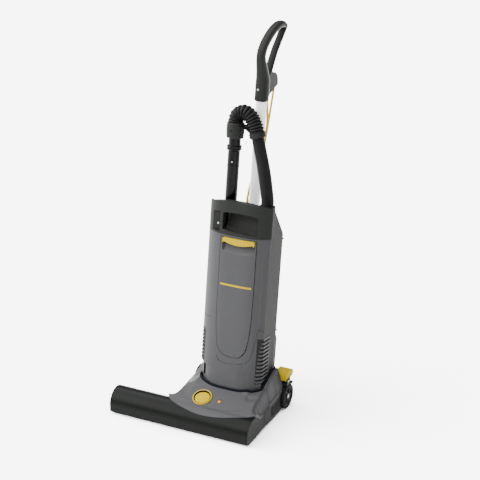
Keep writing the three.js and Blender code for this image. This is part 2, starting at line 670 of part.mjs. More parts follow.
// The black cover: a front wall with the carrying grip above a recess, and an open tray behind it.
// A low wall across the tray dips in its middle, so that fingers reach through behind the grip.
function makeTopCover() {
  const low = FRONT_TOP;
  const left = BODY_X - BODY_HALF - SHOULDER.out;
  const plan = (inset, back) => [...frontCurve(inset), [204 - inset, back], [left + inset, back]];
  const bow = arc(BODY_X, 117, 473, 77.5, 104, 10);
  const crown = [[left - 8, low], [210, low], [210, 575], ...bow, [left - 8, 575]];
  const ramp = [[-140, low], [-57, low], [-57, 562], [-88, COVER_TOP + 10], [-140, COVER_TOP + 10]];
  const dip = arc(100, 562, 33, 200, 340, 8);
  const outside = prismZ(plan(0, -57), low, COVER_TOP + 5)
    .intersect(prismY(crown, -140, -50))
    .intersect(prismX(ramp, -10, 220));
  const tray = prismZ(plan(WALL, -50), low + 5, 620).intersect(box([-10, 220], [-90, -40], [low + 5, 620]));
  const recessFloor = [[55, 501], [75, 498], [112, 495], [150, 494], [169, 494]];
  const recess = [[55, 554], ...recessFloor, [169, 552], [112, 556]];
  const wall = prismY([[66, 487], [148, 487], [148, 552], ...dip.reverse(), [66, 552]], -61, -57);
  const pocket = cut(box([14, 44], [-130, -80], [490, 551]), prismZ(plan(6, -57), 480, 560));
  const cover = cut(
    join(cut(outside, tray), wall),
    prismY(recess, -130, -88),
    pocket,
    box([25, 43], [-130, -96], [490, 551]),
    box([26, 42], [-97, -92.5], [524.5, 549.5]),
    rod("z", [WAND.x, WAND.y], WAND.r + GAP, low - 5, 600, 28),
    rod("z", [PORT.x, PORT.y], PORT.r + GAP, low - 5, 560, 28),
    rod("z", [PORT.x, PORT.y], 26, 550, 600, 28),
    rod("z", [BODY_X, 0], TUBE.r + 5, low - 5, 620, 24),
  );
  add(body, "top_cover", cover, BLACK);
}

function makeSwitch() {
  const rocker = [[-96.5, 527], [-96.5, 547], [-105, 547.5], [-102.5, 537], [-101, 526.5]];
  add(body, "switch_rocker", prismX(rocker, 27, 41), RUBBER);
  add(body, "indicator_lamp", rod("y", [34, 512], 3.2, -99, -96.3, 16), LAMP);
}

// The door in front of the filter bag, with a pocket behind its latch for the fingers.
function makeDoor() {
  const skin = [...frontCurve(-1), ...frontCurve(WALL - 0.5).reverse()];
  const behind = [...frontCurve(0), [204, -60], [-4, -60]];
  const tray = prismZ(behind, 430, 480).intersect(box([55, 168], [-118, -97], [435, DOOR.top - GAP]));
  const door = cut(
    join(prismZ(skin, DOOR.bottom - 5, DOOR.top + 5).intersect(prismY(doorOutline(-GAP), -140, -60)), tray),
    box([58, 165.5], [-140, -100], [438, 500]),
  );
  add(body, "filter_door", door, GREY);

  const bar = [[60, 477.5], [60, 462], ...arc(112, 590, 132, 248, 292, 8), [164, 462], [164, 477.5]];
  const grip = prismZ([...frontCurve(-4), ...frontCurve(6).reverse()], 440, 500);
  add(body, "door_latch", grip.intersect(prismY(bar, -140, -80)), YELLOW);
}

function makeInside() {
  add(body, "swivel_drum", ring("x", [0, 0], 42, 39, 20, 188, 36), DARK);
  const motor = [-46, 96];
  const shaft = rod("x", motor, 5 + GAP, 128, 150, 16);
  add(body, "suction_motor", cut(rod("x", motor, 50, 34, 140, 36), shaft), STEEL);
  const vanes = Array.from({ length: 8 }, (_, i) => {
    const angle = (2 * Math.PI * i) / 8;
    const spot = [motor[0] + 34 * Math.cos(angle), motor[1] + 34 * Math.sin(angle)];
    return rod("x", spot, 7, 150, 168, 10);
  });
  const fan = join(rod("x", motor, 46, 146, 152, 32), rod("x", motor, 5, 130, 168, 16), ...vanes);
  add(body, "fan_impeller", fan, STEEL);
  const bagPlan = (inset) => [
    [50 + inset, -98 + inset],
    [158 - inset, -98 + inset],
    [176 - inset, -84 + inset],
    [176 - inset, -38 - inset],
    [160 - inset, -24 - inset],
    [48 + inset, -24 - inset],
    [32 + inset, -38 - inset],
    [32 + inset, -84 + inset],
  ];
  const inlet = rod("z", [BODY_X - 30, -60], 18, 180, 192, 20);
  add(body, "filter_bag", cut(prismZ(bagPlan(0), 186, 430), prismZ(bagPlan(1.6), 187.6, 428.4), inlet), BAG);
}

// ---- hose, wand and handle ----------------------------------------------------------------------
function makeWand() {
  const profile = [
    [WAND.bore, WAND.from], [WAND.r, WAND.from], [WAND.r, 733], [23, 735], [23, 748], [WAND.r, 750],
    [WAND.r, WAND.to], [WAND.bore, WAND.to],
  ];
  add(body, "wand_tube", turned(profile, [WAND.x, WAND.y]), BLACK);
  const low = WAND.to + GAP;
  const cuff = [[18, low], [26, low], [27.5, 790], [27.5, 817], [25, 819.7], [18, 819.7]];
  add(body, "hose_cuff", turned(cuff, [WAND.x, WAND.y]), BLACK);
}

function makeHoses() {
  const y = WAND.y;
  const crest = [[63, y, 849], [77, y, 853], [93, y, 847], [106, y, 832]];
  const bendEnd = [[115, y, 816], [119.5, y, 804], [121.6, y, 796.5]];
  const bend = [[50, y, 820.2], [50, y, 828], [54, y, 840], ...crest, ...bendEnd];
  add(body, "bend_hose", hoseAlong(bend, BEND_R, BEND_R - 3, 18, 16), BLACK);
  add(body, "hose_joint", hoseAlong([[121.7, y, 796], [125.5, y, 782.4]], BEND_R + 1.5, 17, 24, 1), BLACK);
  const intoPort = [[168.6, y + 4, 602], [PORT.x, PORT.y, 588], [PORT.x, PORT.y, 579]];
  const fall = [[136, y, 745], [147, y, 708], [157, y + 1, 668], [164, y + 2, 632]];
  const stretch = [[125.6, y, 782], [127.8, y, 774.2], ...fall, ...intoPort];
  add(body, "stretch_hose", hoseAlong(stretch, STRETCH_R, STRETCH_R - 2.5, 16, 16), BLACK);
  const flare = [[PORT.r, 566], [25, 568], [25, 578.5], [19, 578.5], [19, 560]];
  const port = [[16, 478], [PORT.r, 478], ...flare, [16, 556]];
  add(body, "hose_port", turned(port, [PORT.x, PORT.y]), BLACK);
}

// The closed loop grip at the top of the tube, in two halves that part along its sides.
function makeHandle() {
  add(body, "handle_tube", ring("z", [BODY_X, 0], TUBE.r, TUBE.bore, TUBE.from, TUBE.to), LIGHT);
  const sideways = (points) => points.map(([y, z]) => [BODY_X, y, z]);
  const grip = [[-27, 1040], [-16, 1064], [12, 1083], [50, 1101], [90, 1109], [118, 1106], [128, 1099]];
  const frontArm = [[0, 940], [-6, 965], [-15, 988], [-24, 1012], ...grip];
  const rearLow = [[59, 1008], [42, 984], [22, 962], [6, 945]];
  const rearArm = [[128, 1096], [118, 1083], [96, 1057], [74, 1032], ...rearLow];
  const whole = cut(
    join(
      rod("z", [BODY_X, 0], 20.5, 884, 975),
      sweep(sideways(frontArm), 13.5, 11, 16, 26),
      sweep(sideways(rearArm), 11, 7.5, 14, 16),
      rod("x", [126, 1096], 11.5, BODY_X - 12, BODY_X + 12, 20),
    ),
    rod("z", [BODY_X, 0], TUBE.r + GAP, 880, TUBE.to + GAP),
  );
  const partingLow = [[12, 870], [12, 955], [20, 972], [40, 1015], [70, 1052]];
  const partingLine = [...partingLow, [105, 1088], [121, 1093], [150, 1096], [170, 1096], [170, 870]];
  const parting = (shift) => prismX(partingLine.map(([y, z]) => [y - shift, z + shift]), 60, 150);
  add(body, "handle_front", cut(whole, parting(GAP)), BLACK);
  add(body, "handle_rear", whole.intersect(parting(0)), BLACK);
  add(body, "handle_screw", rod("y", [BODY_X - 4, 920], 3.5, -22.2, -20.8, 14), STEEL);
}

// ---- mains cable --------------------------------------------------------------------------------
function makeHooks() {
  const inner = HOOK.bend - CABLE_R - 1.2;
  const horn = arc(HOOK.y, HOOK.z, 36, 100, -10, 12);
  const cheek = [[21.2, 892], [21.2, 948], [41, 969.5], [46, 972], ...horn, [84, 918], [60, 908], [40, 899]];
  const saddle = [...arc(HOOK.y, HOOK.z, inner, 0, 180, 16), [HOOK.y - inner, 916], [HOOK.y + inner, 916]];
  const reach = HOOK.half + HOOK.cheek;
  const hook = join(
    prismX(cheek, BODY_X - reach, BODY_X - HOOK.half),
    prismX(cheek, BODY_X + HOOK.half, BODY_X + reach),
    prismX(saddle, BODY_X - reach + 1, BODY_X + reach - 1),
    box([BODY_X - reach + 1, BODY_X + reach - 1], [21.2, 27.9], [894, 950]),
  );
  add(body, "cable_hook", hook, BLACK);

  const post = COIL.z + COIL.inner - GAP - 12;
  const lower = join(
    rod("y", [COIL.x, post], 12, BODY_BACK + GAP, 70, 24),
    rod("y", [COIL.x, post], 24, 68, 72, 28),
    rod("y", [COIL.x, post], 17, BODY_BACK + GAP, BODY_BACK + 2.4, 24),
  );
  add(body, "lower_cable_hook", lower, BLACK);
}

// The cable climbs from its gland to the hook on the handle, turns over it, and comes down to the coil.
function cableRoute() {
  const toHook = [[109, 41, 790], [108, 37.5, 860], [104, 32.3, 905]];
  const climb = [[60, 34, 470.3], [61, 34.5, 515], [66, 37, 590], [87, 40, 690], ...toHook];
  const over = arc(HOOK.y, HOOK.z, HOOK.bend, 180, 0, 8).map(([y, z]) => [BODY_X, y, z]);
  const fall = [[103.6, 84, 895], [103, 75, 850], [102, 66, 800], [99, 60, 750], [93, 57, 700], [83, 53, 640],
    [68, 50, 570], [52, 45, 500], [36, 37, 430], [25.5, 31.5, 380], [23, 30.7, 363]];
  return [...climb, ...over, ...fall];
}

function makeCable() {
  const sleeve = rod("z", [60, 34], 7.5, 435, 470, 20, 4.6);
  const gland = join(box([50, 70], [BODY_BACK + GAP, 43], [402, 436]), sleeve);
  add(body, "cable_gland", gland, BLACK);
  add(body, "mains_cable", sweep(cableRoute(), CABLE_R, CABLE_R, 8, 76), YELLOW);
  const section = [
    [COIL.inner, COIL.front],
    [COIL.outer, COIL.front],
    [COIL.outer, COIL.back],
    [COIL.inner, COIL.back],
    [COIL.inner, COIL.front],
  ];
  const wound = new THREE.LatheGeometry(section.map(([r, y]) => new THREE.Vector2(r, y)), 32);
  wound.translate(COIL.x, 0, COIL.z);
  add(body, "mains_cable_coil", solid(wound), YELLOW);
  const tail = [[51.4, 66.9, 330], [52, 67, 300], [56, 69, 268], [61, 74, 244], [62, 76, 232], [62, 77.2, 224]];
  add(body, "mains_cable_tail", sweep(tail, CABLE_R, CABLE_R, 8, 9), YELLOW);

  // The plug hangs straight down, whatever the body's lean.
  const hanging = new THREE.Group();
  hanging.position.set(62, 77.3, 223.6);
  hanging.rotation.x = LEAN;
  body.add(hanging);
  const pins = [-9.5, 9.5].map((x) => rod("z", [x, 0], 2.4, -71, -50, 12));
  const plug = join(rod("z", [0, 0], 17.5, -52, -18, 28), rod("z", [0, 0], 15, -19, 0, 24, 7), ...pins);
  add(hanging, "mains_plug", plug, BLACK);
}

makeBrushHousing();
makeEndCaps();
makeSolePlate();
makeCover();
makeSeal();
makeChassis();
makeSideVent();
makeWheels();
makeRollerYoke();
makeBrush();
makeDrive();
makeKnob();
makePedal();
makePivotPins();
makeShells();
makeVents();
makeTopCover();
makeSwitch();
makeDoor();
makeInside();
makeWand();
makeHoses();
makeHandle();
makeHooks();
makeCable();

export default machine;
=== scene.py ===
"""Upright vacuum cleaner: its looks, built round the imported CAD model.

Head pieces are written in head coordinates and body pieces in body coordinates, both in millimetres:
the head's x = 0 is the middle of the brush housing, y = 0 its front and z = 0 the floor, and the body's
origin is the recline axis, with z up the body as it stands parked. Two matrices take them to the row frame.
"""

import json
import math
import random

import bmesh
import bpy
from mathutils import Matrix, Vector, noise

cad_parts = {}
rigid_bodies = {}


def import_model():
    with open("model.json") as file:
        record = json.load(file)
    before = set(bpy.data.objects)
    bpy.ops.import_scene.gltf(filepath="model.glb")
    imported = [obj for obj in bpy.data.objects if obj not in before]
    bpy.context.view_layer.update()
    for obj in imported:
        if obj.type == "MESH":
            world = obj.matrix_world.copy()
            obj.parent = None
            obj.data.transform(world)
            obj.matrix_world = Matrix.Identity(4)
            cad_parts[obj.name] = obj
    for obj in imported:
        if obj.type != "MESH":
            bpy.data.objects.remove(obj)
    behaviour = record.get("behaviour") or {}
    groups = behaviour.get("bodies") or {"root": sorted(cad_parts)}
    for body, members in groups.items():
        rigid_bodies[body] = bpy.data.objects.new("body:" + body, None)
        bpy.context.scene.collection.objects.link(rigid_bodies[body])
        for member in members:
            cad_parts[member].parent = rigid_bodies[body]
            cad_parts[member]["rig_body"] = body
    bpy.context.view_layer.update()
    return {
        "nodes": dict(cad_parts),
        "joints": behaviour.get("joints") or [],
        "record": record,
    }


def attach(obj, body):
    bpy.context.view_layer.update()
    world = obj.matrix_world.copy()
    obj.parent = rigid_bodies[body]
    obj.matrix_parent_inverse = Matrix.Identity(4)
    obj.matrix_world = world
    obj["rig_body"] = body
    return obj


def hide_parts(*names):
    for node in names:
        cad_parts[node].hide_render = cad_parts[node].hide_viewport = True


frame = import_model()

# ---- driving dimensions, in millimetres and degrees ---------------------------------------------
MM = 0.001
LEAN = math.radians(8.5)
PIVOT = Vector(next(j for j in frame["joints"] if j["name"] == "recline")["pos_m"])
PIVOT_Y = 245
PIVOT_Z = 95
BODY_X = 104
BODY_HALF = 100
BODY_FRONT = -116
BODY_SIDE = -80
BODY_BACK = 24
SHELL_TOP = 484.7
ARCH_Y = 45
ARCH_Z = 31
ARCH_R = 45
HOUSING_HALF = 240
HEAD_LEFT = -58
HEAD_RIGHT = 240
HEAD_BACK = 300
HOUSING_BOTTOM = 8
WALL = 3
BRUSH_AXIS = (45, 36)
WHEEL_AXIS = (279, 40)
WHEEL_LOW = {"left": -68, "right": 228}
WHEEL_WIDTH = 22
ROLLER_AXIS = (122, 12)
ROLLER_LOW = {"left": -44, "right": 176}
ROLLER_WIDTH = 14
COVER_SLOPE = math.atan(0.386)
COVER_RISE = [(45, 79), (128, 111), (176, 118), (213, 131), (240, 140), (300, 142)]
LEFT_OUT = 8
SHOULDER = 56
KNOB_X = 48
KNOB_Y = 76
INDICATOR_X = 108
INDICATOR_Y = 74
WAND_X = 50
WAND_Y = -55
PORT_X = 170
PORT_Y = -50
CABLE_R = 3.5
GLAND_X = 60
GLAND_Y = 34
GLAND_TOP = 470.3
COIL_X = 92
COIL_Z = 330
HOOK_Y = 60
HOOK_Z = 928
HOOK_BEND = 28

HEAD = Matrix.Translation(PIVOT - Vector((BODY_X, PIVOT_Y, PIVOT_Z)) * MM) @ Matrix.Scale(MM, 4)
BODY = (
    Matrix.Translation(PIVOT - Vector((BODY_X * MM, 0, 0)))
    @ Matrix.Rotation(-LEAN, 4, "X")
    @ Matrix.Scale(MM, 4)
)


# ---- camera -------------------------------------------------------------------------------------
def make_camera():
    data = bpy.data.cameras.new("camera")
    data.lens = 116.25
    data.sensor_width = 36
    data.clip_end = 100
    camera = bpy.data.objects.new("camera", data)
    camera.location = (1.9702, -3.9143, 2.4580)
    camera.rotation_euler = (math.radians(66.3), 0, math.radians(25.8))
    bpy.context.scene.collection.objects.link(camera)
    bpy.context.scene.camera = camera


# ---- curves and outlines ------------------------------------------------------------------------
def smooth(low, high, value):
    t = min(1, max(0, (value - low) / (high - low)))
    return t * t * (3 - 2 * t)


def between(pairs, at):
    """Straight lines between (position, value) pairs."""
    if at <= pairs[0][0]:
        return pairs[0][1]
    for (a, low), (b, high) in zip(pairs, pairs[1:]):
        if at <= b:
            return low + (high - low) * (at - a) / (b - a)
    return pairs[-1][1]


def arc(cx, cy, radius, start, end, steps):
    out = []
    for i in range(steps + 1):
        angle = math.radians(start + (end - start) * i / steps)
        out.append((cx + radius * math.cos(angle), cy + radius * math.sin(angle)))
    return out


def spline(points, steps):
    """A centripetal Catmull-Rom line through the points, with an even number of steps per span."""
    knots = [Vector(p) for p in points]
    knots = [2 * knots[0] - knots[1], *knots, 2 * knots[-1] - knots[-2]]
    line = []
    for p0, p1, p2, p3 in zip(knots, knots[1:], knots[2:], knots[3:]):
        t0 = 0.0
        t1 = t0 + math.sqrt((p1 - p0).length)
        t2 = t1 + math.sqrt((p2 - p1).length)
        t3 = t2 + math.sqrt((p3 - p2).length)
        for i in range(steps):
            t = t1 + (t2 - t1) * i / steps
            a1 = p0 * ((t1 - t) / (t1 - t0)) + p1 * ((t - t0) / (t1 - t0))
            a2 = p1 * ((t2 - t) / (t2 - t1)) + p2 * ((t - t1) / (t2 - t1))
            a3 = p2 * ((t3 - t) / (t3 - t2)) + p3 * ((t - t2) / (t3 - t2))
            b1 = a1 * ((t2 - t) / (t2 - t0)) + a2 * ((t - t0) / (t2 - t0))
            b2 = a2 * ((t3 - t) / (t3 - t1)) + a3 * ((t - t1) / (t3 - t1))
            line.append(b1 * ((t2 - t) / (t2 - t1)) + b2 * ((t - t1) / (t2 - t1)))
    line.append(Vector(points[-1]))
    return line


def even(line, step):
    """The same line, with points a fixed distance apart."""
    total = sum((b - a).length for a, b in zip(line, line[1:]))
    count = max(2, round(total / step))
    wanted = [total * i / count for i in range(count + 1)]
    out = []
    done = 0.0
    k = 0
    for a, b in zip(line, line[1:]):
        span = (b - a).length
        while k <= count and wanted[k] <= done + span + 1e-9:
            out.append(a.lerp(b, (wanted[k] - done) / span if span else 0))
            k += 1
        done += span
    while len(out) <= count:
        out.append(line[-1].copy())
    return out


def front_y(x, inset=0.0):
    """The body's bulged front: its y at a given x."""
    half = BODY_HALF - inset + (LEFT_OUT if x < BODY_X else 0)
    u = min(1, abs(x - BODY_X) / half)
    return BODY_FRONT + inset + (BODY_SIDE - BODY_FRONT) * u**3.5


def front_curve(inset, out=LEFT_OUT, steps=56):
    """The same front seen from above. The left wall stands further out above the shoulder."""
    points = []
    for i in range(steps + 1):
        u = 2 * i / steps - 1
        half = BODY_HALF - inset + (out if u < 0 else 0)
        rise = (BODY_SIDE - BODY_FRONT) * abs(u) ** 3.5
        points.append((BODY_X + half * u, BODY_FRONT + inset + rise))
    return points


# ---- meshes -------------------------------------------------------------------------------------
def placed(axis, u, v, w):
    """An outline's point (u, v) at w along the axis, in x, y, z order."""
    if axis == "x":
        return (w, u, v)
    if axis == "y":
        return (u, w, v)
    return (u, v, w)


def loft(rings, loop=False):
    """A skin over rings of equally many points."""
    bm = bmesh.new()
    rows = [[bm.verts.new(p) for p in ring] for ring in rings]
    pairs = list(zip(rows, rows[1:]))
    if loop:
        pairs.append((rows[-1], rows[0]))
    for low, high in pairs:
        for i in range(len(low)):
            j = (i + 1) % len(low)
            bm.faces.new((low[i], low[j], high[j], high[i]))
    if not loop:
        bm.faces.new(list(reversed(rows[0])))
        bm.faces.new(rows[-1])
    bmesh.ops.recalc_face_normals(bm, faces=bm.faces)
    return bm


def prism(outline, axis, low, high):
    return loft([[placed(axis, u, v, w) for u, v in outline] for w in (low, high)])


def block(x, y, z):
    return prism([(x[0], y[0]), (x[1], y[0]), (x[1], y[1]), (x[0], y[1])], "z", *z)


def lathe(profile, axis, centre, sides=72):
    """A closed outline of (radius, height) turned about an axis through the centre."""
    rings = []
    for i in range(sides):
        angle = 2 * math.pi * i / sides
        ring = []
        for r, h in profile:
            u = centre[0] + r * math.cos(angle)
            v = centre[1] + r * math.sin(angle)
            ring.append(placed(axis, u, v, h))
        rings.append(ring)
    return loft(rings, loop=True)


def rod(axis, centre, radius, low, high, sides=48):
    return prism(arc(*centre, radius, 0, 360, sides)[:-1], axis, low, high)


def frames_along(line, up):
    """(point, side, up) at each point, with no twist."""
    out = []
    up = Vector(up)
    last = len(line) - 1
    for i, p in enumerate(line):
        tangent = (line[min(i + 1, last)] - line[max(i - 1, 0)]).normalized()
        side = tangent.cross(up).normalized()
        up = side.cross(tangent).normalized()
        out.append((p, side, up))
    return out


def sweep(line, section, up=(0, 1, 0)):
    """section(i, t) gives the (side, up) outline at each point of the line, with t from 0 to 1."""
    rings = []
    frames = frames_along(line, up)
    for i, (p, side, rise) in enumerate(frames):
        outline = section(i, i / (len(frames) - 1))
        rings.append([p + side * a + rise * b for a, b in outline])
    return loft(rings)


def circle(radius, sides=32):
    return arc(0, 0, radius, 0, 360, sides)[:-1]


def squircle(half_side, half_up, power=2.6, sides=36):
    out = []
    for i in range(sides):
        angle = 2 * math.pi * i / sides
        c, s = math.cos(angle), math.sin(angle)
        a = math.copysign(abs(c) ** (2 / power), c)
        b = math.copysign(abs(s) ** (2 / power), s)
        out.append((half_side * a, half_up * b))
    return out


def joined(first, *others):
    """One mesh that holds several, each keeping its own faces."""
    for other in others:
        mesh = bpy.data.meshes.new("part")
        other.to_mesh(mesh)
        other.free()
        first.from_mesh(mesh)
        bpy.data.meshes.remove(mesh)
    return first


def as_object(name, bm, matrix):
    mesh = bpy.data.meshes.new(name)
    bm.to_mesh(mesh)
    bm.free()
    mesh.transform(matrix)
    obj = bpy.data.objects.new(name, mesh)
    bpy.context.scene.collection.objects.link(obj)
    return obj


def baked(obj):
    """Applies the object's modifiers."""
    graph = bpy.context.evaluated_depsgraph_get()
    mesh = bpy.data.meshes.new_from_object(obj.evaluated_get(graph))
    obj.modifiers.clear()
    obj.data = mesh
    return obj


def combine(obj, tools, matrix, operation="DIFFERENCE"):
    """Cuts closed tool shapes from the object, or adds them to it."""
    cutters = [as_object("cutter", tool, matrix) for tool in tools]
    for cutter in cutters:
        mod = obj.modifiers.new("boolean", "BOOLEAN")
        mod.operation = operation
        mod.solver = "EXACT"
        mod.object = cutter
        baked(obj)
    for cutter in cutters:
        bpy.data.objects.remove(cutter)
    return obj


def finish_piece(obj, look, slot, body, *nodes, bevel=0.0, segments=2, crease=34):
    """Rounds the edges, gives the finish, and hands the piece to its body."""
    mesh = obj.data
    mesh.materials.clear()
    mesh.materials.append(look)
    for polygon in mesh.polygons:
        polygon.use_smooth = True
        polygon.material_index = 0
    if bevel:
        mod = obj.modifiers.new("edges", "BEVEL")
        mod.width = bevel * MM
        mod.segments = segments
        mod.limit_method = "ANGLE"
        mod.angle_limit = math.radians(crease)
        mod.harden_normals = False
        mod.use_clamp_overlap = True
        weighted = obj.modifiers.new("normals", "WEIGHTED_NORMAL")
        weighted.keep_sharp = True
        weighted.weight = 80
    else:
        mesh.set_sharp_from_angle(angle=math.radians(crease))
    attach(obj, body)
    if nodes:
        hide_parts(*nodes)
    return obj


def piece(name, bm, matrix, look, slot, body, *nodes, **options):
    return finish_piece(as_object(name, bm, matrix), look, slot, body, *nodes, **options)


def refined(node, look, bevel=0.8, segments=2, crease=34):
    """A copy of a CAD node with rounded edges, which stands for it."""
    source = frame["nodes"][node]
    bm = bmesh.new()
    bm.from_mesh(source.data)
    bmesh.ops.remove_doubles(bm, verts=bm.verts, dist=2e-6)
    bmesh.ops.dissolve_limit(bm, angle_limit=math.radians(0.6), verts=bm.verts, edges=bm.edges)
    record = frame["record"]
    slot = next(s["material_slot"] for s in record["subparts"] if s["node"] == node)
    body = source["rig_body"]
    obj = as_object(node + "_looks", bm, Matrix.Identity(4))
    return finish_piece(obj, look, slot, body, node, bevel=bevel, segments=segments, crease=crease)


# ---- materials ----------------------------------------------------------------------------------
def finish(
    name,
    color,
    roughness,
    metallic=0.0,
    grain=(900, 0.12),
    mottle=0.05,
    spread=0.06,
    wear=0.12,
    coat=0.0,
    stretch=(1, 1, 1),
    sheen=0.3,
):
    """A moulded, painted or drawn surface, with fine grain, soft patches and slightly rubbed edges.

    grain is the bump's scale and strength, mottle the change in colour over a patch, spread the change in
    roughness, wear how far a sharp edge is rubbed lighter, and sheen the strength of the clear reflection.
    """
    material = bpy.data.materials.new(name)
    material.use_nodes = True
    tree = material.node_tree
    link = tree.links.new
    shader = tree.nodes["Principled BSDF"]
    shader.inputs["Metallic"].default_value = metallic
    shader.inputs["Coat Weight"].default_value = coat
    shader.inputs["Coat Roughness"].default_value = 0.15
    shader.inputs["Specular IOR Level"].default_value = sheen
    where = tree.nodes.new("ShaderNodeTexCoord")
    mapping = tree.nodes.new("ShaderNodeMapping")
    mapping.inputs["Scale"].default_value = stretch
    link(where.outputs["Object"], mapping.inputs["Vector"])

    patches = tree.nodes.new("ShaderNodeTexNoise")
    patches.inputs["Scale"].default_value = 14
    patches.inputs["Detail"].default_value = 5
    link(mapping.outputs["Vector"], patches.inputs["Vector"])
    dark = [c * (1 - mottle) for c in color]
    light = [min(1, c * (1 + mottle)) for c in color]
    tone = tree.nodes.new("ShaderNodeMix")
    tone.data_type = "RGBA"
    tone.inputs["A"].default_value = (*dark, 1)
    tone.inputs["B"].default_value = (*light, 1)
    link(patches.outputs["Fac"], tone.inputs["Factor"])

    edges = tree.nodes.new("ShaderNodeNewGeometry")
    rubbed = tree.nodes.new("ShaderNodeMapRange")
    rubbed.inputs["From Min"].default_value = 0.52
    rubbed.inputs["From Max"].default_value = 0.62
    rubbed.inputs["To Max"].default_value = wear
    link(edges.outputs["Pointiness"], rubbed.inputs["Value"])
    worn = tree.nodes.new("ShaderNodeMix")
    worn.data_type = "RGBA"
    worn.inputs["B"].default_value = (*[min(1, c * 1.6 + 0.004) for c in color], 1)
    link(rubbed.outputs["Result"], worn.inputs["Factor"])
    link(tone.outputs["Result"], worn.inputs["A"])
    link(worn.outputs["Result"], shader.inputs["Base Color"])

    gloss = tree.nodes.new("ShaderNodeMapRange")
    gloss.inputs["To Min"].default_value = max(0.02, roughness - spread)
    gloss.inputs["To Max"].default_value = min(1, roughness + spread)
    link(patches.outputs["Fac"], gloss.inputs["Value"])
    link(gloss.outputs["Result"], shader.inputs["Roughness"])

    fine = tree.nodes.new("ShaderNodeTexNoise")
    fine.inputs["Scale"].default_value = grain[0]
    fine.inputs["Detail"].default_value = 3
    link(mapping.outputs["Vector"], fine.inputs["Vector"])
    bump = tree.nodes.new("ShaderNodeBump")
    bump.inputs["Strength"].default_value = grain[1]
    bump.inputs["Distance"].default_value = 0.0006
    link(fine.outputs["Fac"], bump.inputs["Height"])
    link(bump.outputs["Normal"], shader.inputs["Normal"])
    return material


GREY = finish("grey_shell", (0.0160, 0.0160, 0.0168), 0.5, sheen=0.07, grain=(1300, 0.16))
DARK = finish("dark_shell", (0.0070, 0.0076, 0.0068), 0.55, sheen=0.03, grain=(1200, 0.2))
BLACK = finish("black_cover", (0.0062, 0.0067, 0.0060), 0.5, sheen=0.03, grain=(1100, 0.2))
HOSE = finish("hose_black", (0.0019, 0.0021, 0.0019), 0.42, sheen=0.05, grain=(700, 0.1))
GLOSS = finish("gloss_black", (0.0008, 0.0010, 0.0008), 0.2, sheen=0.06, grain=(500, 0.04))
SATIN = finish("housing_black", (0.0010, 0.0013, 0.0010), 0.36, sheen=0.04, grain=(400, 0.06), mottle=0.12)
RUBBER = finish("seal_rubber", (0.0008, 0.0012, 0.0022), 0.7, sheen=0.03, grain=(900, 0.25))
TYRE = finish("tyre_rubber", (0.0022, 0.0022, 0.0022), 0.8, sheen=0.05, grain=(700, 0.4), mottle=0.2)
YELLOW = finish(
    "yellow_gloss", (0.155, 0.110, 0.0), 0.45, sheen=0.02, grain=(600, 0.05), mottle=0.03, wear=0.04
)
RING = finish("ring_yellow", (0.17, 0.12, 0.002), 0.5, sheen=0.08, grain=(600, 0.06), mottle=0.04)
ORANGE = finish("indicator_orange", (0.25, 0.08, 0.001), 0.35, sheen=0.1, grain=(600, 0.05))
TUBE = finish("tube_satin", (0.42, 0.40, 0.42), 0.35, sheen=0.3, grain=(300, 0.03), mottle=0.02, coat=0.2)
TRIM = finish("trim_line", (0.13, 0.13, 0.13), 0.4, sheen=0.2, grain=(500, 0.05))
STEEL = finish("steel", (0.23, 0.23, 0.23), 0.32, metallic=1, grain=(500, 0.08), stretch=(8, 1, 1))
ALLOY = finish("cast_alloy", (0.20, 0.20, 0.21), 0.42, metallic=1, grain=(350, 0.3))
BRASS = finish("plug_pins", (0.28, 0.23, 0.12), 0.25, metallic=1, grain=(500, 0.05))
CABLE = finish(
    "cable_jacket", (0.20, 0.140, 0.0), 0.45, sheen=0.06, grain=(1500, 0.08), mottle=0.04, wear=0.02
)
LENS = finish("lamp_lens", (0.16, 0.2, 0.23), 0.14, sheen=0.3, grain=(300, 0.02), coat=0.6)
PAPER = finish("bag_fleece", (0.15, 0.13, 0.095), 0.88, sheen=0.1, grain=(1600, 0.5), mottle=0.1, wear=0.0)
BRISTLE = finish("bristle_nylon", (0.003, 0.003, 0.0035), 0.6, sheen=0.08, grain=(900, 0.2))
FLOOR = finish("floor_paint", (0.98, 0.98, 0.98), 0.95, sheen=0.2, grain=(60, 0.02), mottle=0.003, wear=0.0)


